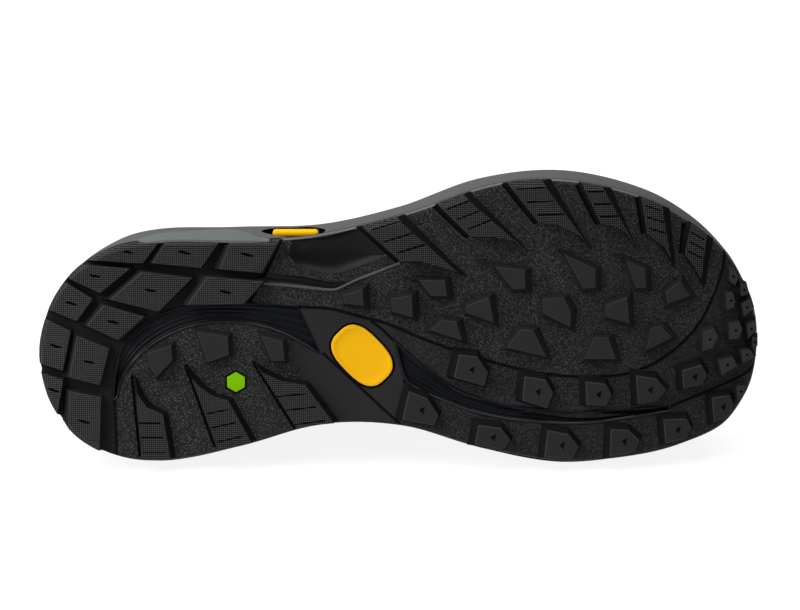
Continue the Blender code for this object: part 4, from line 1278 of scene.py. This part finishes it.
def foot_reach(corners, at_edge, draft, slopes):
    """Way from each corner of a lug's top out to its foot; sides along the outsole's edge keep to it."""
    normals = side_normals(corners)
    reach = draft + np.maximum(normals * slopes, 0.0).sum(axis=1)
    reach[at_edge & np.roll(at_edge, -1)] = 0.0
    ways = []
    for i in range(len(corners)):
        pair = normals[[i - 1, i]]
        goal = reach[[i - 1, i]]
        way = pair.mean(axis=0) * goal.mean()
        if abs(np.linalg.det(pair)) > LEAST_BEND:
            way = np.linalg.solve(pair, goal)
        length = np.linalg.norm(way)
        ways.append(way * FOOT_LONGEST / length if length > FOOT_LONGEST else way)
    return np.array(ways)


def lug_mesh(corners, at_edge, drops, shoulder, draft, slopes, rounding, top_finish, wall_finish):
    """One lug: top in the tread's plane, sides sloping out and a flared foot that ends inside the plate."""
    wall = foot_reach(corners, at_edge, draft, slopes)
    foot = foot_reach(corners, at_edge, draft + FOOT_FLARE, slopes)
    ways = shoulder_ways(corners, at_edge, shoulder[0])
    count = len(corners)
    shape = bmesh.new()
    crown = []
    for (x, y), drop in zip(corners + ways, drops):
        crown.append(shape.verts.new(on_floor((x, y, spring(x) + drop))))
    rim = list(crown)
    for i in np.nonzero(ways.any(axis=1))[0]:
        x, y = corners[i]
        rim[i] = shape.verts.new(on_floor((x, y, spring(x) + drops[i] + shoulder[1])))
    rings = [rim]
    for way, sink in ((wall * WALL_SHARE, -WALL_END), (foot, FOOT_SINK), (foot, ROOT_SINK)):
        rings.append([shape.verts.new(on_floor((x, y, plate_z(x) + sink))) for x, y in corners + way])
    top = shape.faces.new(crown)
    shape.faces.new(rings[-1][::-1])
    for low, high in zip([crown, *rings], rings):
        for i in range(count):
            j = (i + 1) % count
            around = list(dict.fromkeys((low[i], low[j], high[j], high[i])))
            if len(around) > 2:
                face = shape.faces.new(around)
                edge_finish = top_finish if low is crown else PLAIN
                face.material_index = edge_finish if at_edge[i] and at_edge[j] else wall_finish
    top.material_index = top_finish
    bmesh.ops.recalc_face_normals(shape, faces=shape.faces)
    rounded = list(top.edges)
    for i in range(count):
        rounded.append(shape.edges.get((rings[0][i], rings[1][i])))
    # The rounded edges are painted in the pale lug highlight finish; all but those next to the top go back to
    # the wall's.
    bmesh.ops.bevel(
        shape,
        geom=rounded,
        offset=rounding * MM,
        segments=2,
        profile=0.5,
        affect="EDGES",
        clamp_overlap=True,
        material=LUG_HIGHLIGHT,
    )
    for face in shape.faces:
        x, _, z = upright(face.calc_center_median())
        if face.material_index == LUG_HIGHLIGHT and z > spring(x) + EDGE_BAND * rounding:
            face.material_index = wall_finish
    mesh = mesh_of("lug", shape)
    for material in OUTSOLE_FINISHES:
        mesh.materials.append(material)
    return mesh


def blade_mesh(start, side, tip):
    """Low blade that falls from a cone's corner to the ground."""
    bend = (start + tip) / 2 + (side - start) * BLADE_BEND
    points = [(x, y, spring(x) + BLADE_DROPS[0]) for x, y in (start, side)]
    points += [(*bend, spring(bend[0]) + BLADE_DROPS[1]), (*tip, plate_z(tip[0]) + BLADE_TIP_SINK)]
    points += [(x, y, plate_z(x) + BLADE_ROOT_SINK) for x, y in (start, side, bend, tip)]
    ends = [(0, 1, 2), (0, 2, 3), (4, 6, 5), (4, 7, 6)]
    return mesh_from("blade", points, ends + ring_faces(2, 4))


CUTTERS = {kind: prism_shape(sizes[0]) for kind, sizes in CUT_SIZES.items()}


def cut_tool(kind, corners):
    """Tool for the slits or the dimple in a lug's top."""
    _, length, width, depth, turn, finish = CUT_SIZES[kind]
    middle = corners.mean(axis=0)
    rows = [((*middle, spring(middle[0])), (0.0, 0.0, turn), (length, width, 2 * depth))]
    if kind in FIN_SLOTS:
        rows = fin_cuts(corners, width, depth)
    return finished(stamped(CUTTERS[kind], rows), finish)


def fin_slot(corners, first, last, start, radius, off):
    """Tool for the groove in the ground beside a fin."""
    side = corners[last] - corners[first]
    away = np.array((-side[1], side[0])) / np.linalg.norm(side) * off
    slot = np.linspace(corners[first] + side * start, corners[last], SLOT_SAMPLES) + away
    return finished(bar_along(on_plate(slot), radius), GROOVE_SHADE)


lug_meshes = []
lug_tops = {}
for kind, tables, growth, draft, slopes, rounding, top_finish, wall_finish in LUG_KINDS:
    lug_tops[kind] = [seen_at(table) for table in tables]
    for corners in lug_tops[kind]:
        corners = corners + outward(corners) * growth
        near = EDGE_NEARS.get(kind, EDGE_NEAR)
        plan, at_edge = run_to_edge(corners, near, EDGE_INSETS.get(kind, EDGE_INSET))
        drops = np.zeros(len(plan))
        if kind in FIN_SLOTS:
            drops[np.argmax(np.linalg.norm(plan - corners[:2].mean(axis=0), axis=1))] = FIN_TIP_DROP
            plate_tools.append(fin_slot(corners, *FIN_SLOTS[kind]))
        shoulder = SHOULDERS.get(kind, (0.0, 0.0))
        lug = lug_mesh(plan, at_edge, drops, shoulder, draft, slopes, rounding, top_finish, wall_finish)
        if kind in CUT_SIZES:
            lug = carved(lug, [cut_tool(kind, corners)])
        lug_meshes.append(lug)
for number, tip in TAIL_TABLES:
    cone = lug_tops["cone"][number]
    side = cone[0] + (cone[1] - cone[0]) * BLADE_WIDTH
    lug_meshes.append(finished(blade_mesh(cone[0], side, ground_at([tip])[0]), PLAIN))

plate_mesh = carved(plate_mesh, plate_tools)
plan = upright([corner.co[:] for corner in plate_mesh.vertices])[:, :2]
# Strength of the pebble relief and of its painted glints, field by field.
grain_and_glint = np.zeros(len(plan))
for strength, table in GRAIN_AND_GLINT_FIELDS:
    grain_and_glint[inside(plan, ground_at(table))] = strength
plate_mesh.attributes.new("grain_and_glint", "FLOAT", "POINT").data.foreach_set("value", grain_and_glint)
heel_pad = ground_at(HEEL_PAD)
waist_field = ground_at(WAIST_FIELD)
for face in plate_mesh.polygons:
    x, y, z = upright(face.center)
    place = np.array([(x, y)])
    rise = z - plate_z(x)
    if inside(place, heel_pad)[0]:
        face.material_index = LUG_WALL
    elif face.material_index == GROUND and inside(place, waist_field)[0]:
        face.material_index = PLAIN
    # Painted highlight: the lateral plate's curled edge takes the pale finish.
    elif face.material_index == GROUND and y < 0 and EDGE_HIGHLIGHT_RISE[0] < rise < EDGE_HIGHLIGHT_RISE[1]:
        face.material_index = EDGE_HIGHLIGHT
ridge = bar_along(on_plate(ground_at(smooth_path(ARCH_RIDGE, ARCH_SAMPLES))), ARCH_RIDGE_RADIUS)
# The arch ridge bar is painted pale as a highlight.
outsole_mesh = joined("outsole_rubber", [plate_mesh, finished(ridge, EDGE_HIGHLIGHT), *lug_meshes])
show("outsole_rubber", outsole_mesh, OUTSOLE_FINISHES, "outsole_rubber", "outsole")

# Side inset: a plain amber bar with rounded ends, let into a dark oval recess of the lateral side wall.
BAR_CENTRE = (106.3, -43.9, 13.2)
BAR_SIZE = (19.0, 3.0, 5.0)
BAR_ROUND = 1.3
RECESS_SIZE = (34.0, 7.0, 9.0)
RECESS_POINT = 0.35
RECESS_TIP = 0.01
RECESS_COLOUR = (0.006, 0.006, 0.0063)


def laid_mesh(name, shape, centre):
    """Mesh on the floor of an edited shape about a place of the upright shoe."""
    for corner in shape.verts:
        corner.co = Vector(on_floor(corner.co + Vector(centre)))
    return mesh_of(name, shape)


def rounded_bar(name, centre, size, rounding):
    """Block with all its edges rounded."""
    shape = bmesh.new()
    bmesh.ops.create_cube(shape, size=1.0)
    bmesh.ops.scale(shape, verts=shape.verts, vec=size)
    bmesh.ops.bevel(shape, geom=list(shape.edges), offset=rounding, segments=4, profile=0.5, affect="EDGES")
    return laid_mesh(name, shape, centre)


def eye_shape(name, centre, size):
    """Oval tool with pointed ends."""
    shape = bmesh.new()
    bmesh.ops.create_icosphere(shape, subdivisions=4, radius=0.5)
    for corner in shape.verts:
        taper = max(1 - 2 * abs(corner.co.x), RECESS_TIP) ** RECESS_POINT
        corner.co.y *= taper
        corner.co.z *= taper
    bmesh.ops.scale(shape, verts=shape.verts, vec=size)
    return laid_mesh(name, shape, centre)


bar_mesh = rounded_bar("side_inset", BAR_CENTRE, BAR_SIZE, BAR_ROUND)
show("side_inset", bar_mesh, [AMBER], "amber_inset", "side_inlay")
RECESS = foam_material("recess_foam", RECESS_COLOUR)
midsole.data.materials.append(RECESS)
recess_tool = painted(eye_shape("recess", BAR_CENTRE, RECESS_SIZE), [FOAM, RECESS], 1)
midsole.data = carved(midsole.data, [recess_tool])

# Insole: a flat foam footbed with a fabric top, loose inside the upper on the midsole.
UPPER_INSET_ROWS = (
    # x, inset of the upper's foot from the outline
    (0.0, 5.6),
    (20.0, 5.5),
    (50.0, 5.0),
    (120.0, 4.0),
    (215.0, 4.0),
    (262.0, 4.6),
    (282.0, 5.4),
    (300.0, 5.6),
)
WALL = 2.0
INSOLE_THICKNESS = 3.5
INSOLE_CLEARANCE = 0.6
INSOLE_LAYERS = (
    # share of thickness, draw inwards
    (0.0, 0.0),
    (0.6, 0.0),
    (0.85, 0.35),
    (1.0, 1.2),
)
INSOLE_COLUMNS = 16
LINING_COLOUR = (0.018, 0.018, 0.019)


def cloth_material(name, colour, pitch, relief):
    """Knitted or woven cloth with soft cells of a given pitch."""
    material, tree, shader = new_material(name, colour, roughness=0.85, specular=0.2)
    shader.inputs["Sheen Weight"].default_value = 0.15
    inputs = {"Vector": shoe_coordinates(tree), "Scale": 1 / pitch, "Randomness": 0.35}
    cells = new_node(tree, "ShaderNodeTexVoronoi", inputs)
    add_bump(tree, shader, noise(tree, 0.25), strength=0.3, depth=0.3)
    add_bump(tree, shader, cells.outputs["Distance"], strength=0.8, depth=relief)
    return material


LINING = cloth_material("lining_cloth", LINING_COLOUR, pitch=0.9, relief=0.25)
insole_inset = -np.array([smooth(UPPER_INSET_ROWS, x) + WALL + INSOLE_CLEARANCE for x in LOOP[:, 0]])
insole_layers = []
for share, draw in INSOLE_LAYERS:
    rise = GAP + share * INSOLE_THICKNESS
    insole_layers.append((insole_inset - draw, lambda x, rise=rise: smooth(MIDSOLE_TOP_ROWS, x) + rise))
insole_mesh = layered_mesh("insole_footbed", insole_layers, INSOLE_COLUMNS)
insole = show("insole_footbed", insole_mesh, [LINING], "lining_fabric", "insole")

# Upper: a hollow shell of black knitted mesh, glued down onto the midsole and open underneath. It is open at
# the collar, bound with tape, and along the throat. Two soft creases cross the ball of the foot.
CREST_ROWS = (
    # x, z
    (45.0, 132.0),
    (80.0, 130.0),
    (100.0, 123.0),
    (117.0, 114.0),
    (150.0, 97.5),
    (195.0, 80.0),
    (225.0, 72.0),
    (250.0, 67.0),
    (268.0, 62.0),
    (283.0, 57.0),
)
COLLAR_ROWS = (
    # x, z
    (-10.0, 108.5),
    (10.0, 108.5),
    (22.0, 106.0),
    (38.0, 97.5),
    (58.0, 91.5),
    (78.0, 94.0),
    (96.0, 103.0),
    (110.0, 117.0),
    (124.0, 140.0),
)
CREST_BACK_X = 100.0
CREST_FRONT_X = 262.0
CREST_SHARE = 0.55
CREST_MEDIAL_SHIFT = 3.0
ROUNDNESS_ROWS = (
    # x, plan power, height power
    (0.0, 0.34, 1.00),
    (45.0, 0.62, 1.00),
    (100.0, 0.72, 0.95),
    (160.0, 0.70, 0.95),
    (220.0, 0.62, 0.85),
    (300.0, 0.55, 0.80),
)
HEEL_CURVE_ROWS = (
    # z, shift towards the toe
    (34.0, 0.0),
    (54.0, -1.6),
    (84.0, 2.6),
    (108.0, -0.6),
)
HEEL_CURVE_END_X = 46.0
CREASES = (
    # x, lean towards the toe on the medial side, half width, depth
    (203.0, 10.0, 3.2, 1.1),
    (217.0, 8.0, 3.8, 0.8),
)
UPPER_STEPS = 26
THROAT_FRONT_X = 196.0
THROAT_BACK_X = 84.0
THROAT_FRONT_WIDTH = 20.0
THROAT_BACK_WIDTH = 40.0
THROAT_LOW = 58.0
THROAT_SAMPLES = 17
COLLAR_SAMPLES = 60
CUT_TOP = 190.0
CUT_REACH = 90.0
RIM_FRONT_X = 112.0
RIM_STATIONS = 90
RIM_SPANS = 160
BINDING_RADIUS = 1.7
FABRIC_COLOUR = (0.011, 0.011, 0.0115)
BINDING_COLOUR = (0.014, 0.014, 0.0145)

FOOT = LOOP - NORMALS * np.array([[smooth(UPPER_INSET_ROWS, x)] for x in LOOP[:, 0]])


def upper_point(station, u):
    """Point of the upper's outer face; u is -1 at the lateral foot, 0 at the crest, 1 at the medial foot."""
    low = min(int(station), STATIONS - 1)
    share = station - low
    count = 2 * STATIONS
    lateral = FOOT[low] * (1 - share) + FOOT[low + 1] * share
    medial = FOOT[-low % count] * (1 - share) + FOOT[-(low + 1) % count] * share
    middle = (lateral + medial) / 2
    held_x = min(max(middle[0], CREST_BACK_X), CREST_FRONT_X)
    crest_x = held_x + (middle[0] - held_x) * CREST_SHARE
    crest = np.array([crest_x, middle[1] + CREST_MEDIAL_SHIFT])
    foot = medial if u > 0 else lateral
    angle = (1 - abs(u)) * math.pi / 2
    near = max(math.cos(angle), 0.0) ** smooth(ROUNDNESS_ROWS, middle[0], 1)
    rise = math.sin(angle) ** smooth(ROUNDNESS_ROWS, middle[0], 2)
    plan = crest + (foot - crest) * near
    foot_z = smooth(MIDSOLE_TOP_ROWS, foot[0]) + GAP
    z = foot_z + (smooth(CREST_ROWS, crest_x) - foot_z) * rise
    plan[0] += max(0.0, 1.0 - plan[0] / HEEL_CURVE_END_X) * smooth(HEEL_CURVE_ROWS, z)
    for x, lean, width, depth in CREASES:
        away = (plan[0] - x - lean * u) / width
        z -= depth * rise * math.exp(-away * away)
    return np.array([*plan, z])


def station_at(x):
    """Station whose section has its middle at x."""
    middles = [(FOOT[i][0] + FOOT[-i % (2 * STATIONS)][0]) / 2 for i in range(STATIONS + 1)]
    return float(np.interp(x, middles, range(STATIONS + 1)))


def shell_mesh(surface, thickness):
    """Wall of even thickness inwards from a surface, its inner faces in the second material."""
    body = placed("shell", surface)
    modifier = body.modifiers.new("wall", "SOLIDIFY")
    modifier.thickness = thickness * MM
    modifier.offset = -1.0
    modifier.use_even_offset = True
    modifier.material_offset = 1
    mesh = evaluated(body)
    bpy.data.objects.remove(body)
    return mesh


def collar_cut():
    """Everything above the collar's line, right across the shoe."""
    sections = []
    for x in np.linspace(COLLAR_ROWS[0][0], COLLAR_ROWS[-1][0], COLLAR_SAMPLES):
        low = smooth(COLLAR_ROWS, x)
        corners = ((-CUT_REACH, low), (CUT_REACH, low), (CUT_REACH, CUT_TOP), (-CUT_REACH, CUT_TOP))
        sections.append([(x, y, z) for y, z in corners])
    return capped_mesh("collar_cut", sections)


def throat_cut():
    """Slot along the instep with a round front end."""
    front_y = upper_point(station_at(THROAT_FRONT_X), 0.0)[1]
    back_y = upper_point(station_at(THROAT_BACK_X), 0.0)[1]
    radius = THROAT_FRONT_WIDTH / 2
    outline = [(THROAT_BACK_X, back_y - THROAT_BACK_WIDTH / 2)]
    for turn in np.linspace(-math.pi / 2, math.pi / 2, THROAT_SAMPLES):
        outline.append((THROAT_FRONT_X - radius + radius * math.cos(turn), front_y + radius * math.sin(turn)))
    outline.append((THROAT_BACK_X, back_y + THROAT_BACK_WIDTH / 2))
    return prism_mesh("throat_cut", outline, lambda x: THROAT_LOW, lambda x: CUT_TOP)


def rim_path(side):
    """Collar's edge on one side, from the throat round to the back of the heel."""
    path = []
    for station in np.linspace(station_at(RIM_FRONT_X), 0.0, RIM_STATIONS):
        spans = np.linspace(0.0, 1.0, RIM_SPANS) * side
        line = np.array([upper_point(station, u) for u in spans])
        above = line[:, 2] - [smooth(COLLAR_ROWS, x) for x in line[:, 0]]
        crossing = np.nonzero((above[:-1] > 0) & (above[1:] <= 0))[0]
        if len(crossing):
            i = crossing[0]
            share = above[i] / (above[i] - above[i + 1])
            path.append(line[i] + (line[i + 1] - line[i]) * share)
    return np.array(path)


FABRIC = cloth_material("knit_mesh", FABRIC_COLOUR, pitch=1.5, relief=0.45)
BINDING = cloth_material("binding_tape", BINDING_COLOUR, pitch=0.7, relief=0.15)
upper_rows = []
for station in range(STATIONS + 1):
    upper_rows.append([upper_point(station, u) for u in np.linspace(-1, 1, 2 * UPPER_STEPS + 1)])
upper_surface = grid_mesh("upper", upper_rows)
upper_surface.materials.append(FABRIC)
upper_surface.materials.append(LINING)
upper_mesh = carved(shell_mesh(upper_surface, WALL), [collar_cut(), throat_cut()])
show("upper_knit", upper_mesh, [], "upper_fabric", "upper")
collar_rim = np.vstack([rim_path(-1), rim_path(1)[::-1]])
binding_mesh = bar_along(collar_rim, BINDING_RADIUS, sides=12, material=BINDING)
for corner in binding_mesh.vertices:
    corner.co.z = max(corner.co.z, 0.0)
show("collar_binding", binding_mesh, [], "upper_fabric")

# Tongue: a strip of padded cloth under the throat, sewn in at its front end; it stands up past the collar.
TONGUE_FRONT_X = 214.0
TONGUE_BACK_X = 97.0
TONGUE_HALF_SPAN = 0.40
TONGUE_THICKNESS = 4.0
TONGUE_SINK = 5.0
TONGUE_ROWS = 60
TONGUE_COLUMNS = 33
TONGUE_RAMPS = (12.0, 24.0)
TONGUE_EDGE = 6


def shifted_rows(rows, distance):
    """Rows of points moved along the surface's own outward normals, by a distance or one for each."""
    grid = np.array(rows)
    normals = np.cross(np.gradient(grid, axis=1), np.gradient(grid, axis=0))
    normals /= np.linalg.norm(normals, axis=2)[:, :, None]
    normals *= np.sign(normals[:, :, 2:3])
    return grid + normals * distance


tongue_spans = np.linspace(-1, 1, TONGUE_COLUMNS)
tongue_rows = []
for station in np.linspace(station_at(TONGUE_BACK_X), station_at(TONGUE_FRONT_X), TONGUE_ROWS):
    tongue_rows.append([upper_point(station, u * TONGUE_HALF_SPAN) for u in tongue_spans])
tongue_top = shifted_rows(tongue_rows, -TONGUE_SINK)
ramps = np.linspace(0, TONGUE_RAMPS[0], TONGUE_ROWS), np.linspace(TONGUE_RAMPS[1], 0, TONGUE_ROWS)
along_pad = np.sqrt(np.clip(np.minimum(*ramps), 0, 1))
across_pad = np.sqrt(1 - tongue_spans**TONGUE_EDGE)
tongue_low = shifted_rows(tongue_top, -TONGUE_THICKNESS * np.outer(along_pad, across_pad)[:, :, None])
tongue_mesh = joined("tongue", [grid_mesh("tongue", rows) for rows in (tongue_top, tongue_low)])
tongue = show("tongue_pad", tongue_mesh, [LINING], "lining_fabric", "tongue")

# Lace: one round braided cord. It crosses the throat from eyelet to eyelet, going down under the edge and up
# through the next hole, and both ends stop inside the top eyelets. Each hole has a small pressed ring.
LACE_RADIUS = 1.5
LACE_LIFT = 1.7
LACE_UNDER = 3.9
LACE_TURN = 0.12
LACE_DIP = 1.6
LACE_SAMPLES = 12
LACE_SIDES = 12
EYELET_PAIRS = 6
EYELET_FRONT = (192.0, 0.24)
EYELET_BACK = (122.0, 0.36)
EYELET_EDGE = 0.72
RING_SIZE = 6.4
RING_BAR = 0.16
RING_FLATNESS = 0.6
RING_LIFT = 0.1
RING_SIDES = (24, 8)
NEAR_STATION = 0.5
NEAR_SPAN = 0.02
LACE_COLOUR = (0.013, 0.013, 0.0135)
RING_COLOUR = (0.02, 0.02, 0.02)


def near_upper(x, span, lift):
    """Place off the upper's outer face, and the direction away from it there."""
    near = []
    for station in station_at(x) + NEAR_STATION * np.array((-1, 0, 1)):
        near.append([upper_point(station, u) for u in span + NEAR_SPAN * np.array((-1, 0, 1))])
    away = (shifted_rows(near, 1.0) - near)[1][1]
    return near[1][1] + away * lift, away


def eyelet(number):
    """Place along the shoe and span of a pair of eyelets, counted from the front."""
    share = number / (EYELET_PAIRS - 1)
    return [front + (back - front) * share for front, back in zip(EYELET_FRONT, EYELET_BACK)]


def lace_path(side):
    """Way of one strand from the lowest eyelet on a side to the top."""
    places = []
    for number in range(EYELET_PAIRS):
        x, span = eyelet(number)
        places += [(x, side * span, -LACE_UNDER), (x, side * span, 0.0)]
        if number < EYELET_PAIRS - 1:
            ahead, ahead_span = eyelet(number + 1)
            turn = (ahead - x) * LACE_TURN
            places.append((x + turn, side * span * EYELET_EDGE, LACE_LIFT))
            places.append(((x + ahead) / 2, 0.0, LACE_LIFT - LACE_DIP))
            places.append((ahead - turn, -side * ahead_span * EYELET_EDGE, -LACE_UNDER))
        side = -side
    return smooth_path([near_upper(*place)[0] for place in places], LACE_SAMPLES * len(places))


def ring_shape():
    """Hidden ring, one unit across, for the eyelets to repeat."""
    laps = np.linspace(0, 2 * math.pi, RING_SIDES[1], endpoint=False)
    radii = 0.5 - RING_BAR + RING_BAR * np.cos(laps)
    rows = []
    for turn in np.linspace(0, 2 * math.pi, RING_SIDES[0] + 1):
        plan = np.outer(radii, (math.cos(turn), math.sin(turn)))
        rows.append(np.column_stack([plan, RING_BAR * np.sin(laps)]))
    ring = bpy.data.meshes.new("ring")
    ring.from_pydata(np.vstack(rows).tolist(), [], ring_faces(len(rows), len(laps)))
    return bpy.data.objects.new("ring", ring)


CORD = cloth_material("lace_cord", LACE_COLOUR, pitch=0.8, relief=0.3)
RING = plain_rubber("eyelet_ring", RING_COLOUR, roughness=0.4, specular=0.4)
strands = [bar_along(lace_path(side), LACE_RADIUS, LACE_SIDES) for side in (1, -1)]
show("lace_cord", joined("lace_cord", strands), [CORD], "lace_cord", "lace")
ring_rows = []
for number in range(EYELET_PAIRS):
    for side in (1, -1):
        x, span = eyelet(number)
        place, away = near_upper(x, side * span, RING_LIFT)
        turn = Vector(away).to_track_quat("Z", "Y").to_euler()
        ring_rows.append((place, np.degrees(turn), (RING_SIZE, RING_SIZE, RING_SIZE * RING_FLATNESS)))
show("eyelet_rings", stamped(ring_shape(), ring_rows, RING), [], "upper_fabric")

# Floor and light: a white table that glows, a large soft light overhead and a key light from the heel's side.
FLOOR_SIZE = 8.0
FLOOR_COLOUR = (0.14, 0.14, 0.14)
FLOOR_GLOW = 0.88
LIGHTS = (
    # name, power, size, place, aimed at
    ("overhead", 120.0, 3.4, (0.0, 0.0, 2.5), (0.0, 0.0, 0.0)),
    ("key", 30.0, 1.1, (-1.1, -0.55, 0.9), (-0.05, -0.05, 0.06)),
)
AMBIENT = 0.2

floor_material, _, floor_shader = new_material("floor_white", FLOOR_COLOUR, roughness=0.8, specular=0.2)
floor_shader.inputs["Emission Color"].default_value = (1.0, 1.0, 1.0, 1.0)
floor_shader.inputs["Emission Strength"].default_value = FLOOR_GLOW
half = FLOOR_SIZE / 2
floor_corners = [(-half, -half, 0), (half, -half, 0), (half, half, 0), (-half, half, 0)]
floor_mesh = bpy.data.meshes.new("floor")
floor_mesh.from_pydata(floor_corners, [], [(0, 1, 2, 3)])
floor_mesh.materials.append(floor_material)
placed("floor", floor_mesh)
for name, power, size, place, aim in LIGHTS:
    light_data = bpy.data.lights.new(name, "AREA")
    light_data.energy = power
    light_data.size = size
    light = placed(name, light_data)
    light.location = place
    light.rotation_euler = (Vector(aim) - Vector(place)).to_track_quat("-Z", "Y").to_euler()
world = bpy.data.worlds.new("studio")
world.use_nodes = True
background = world.node_tree.nodes["Background"]
background.inputs["Color"].default_value = (1.0, 1.0, 1.0, 1.0)
background.inputs["Strength"].default_value = AMBIENT
bpy.context.scene.world = world
bpy.context.scene.view_settings.view_transform = "Standard"
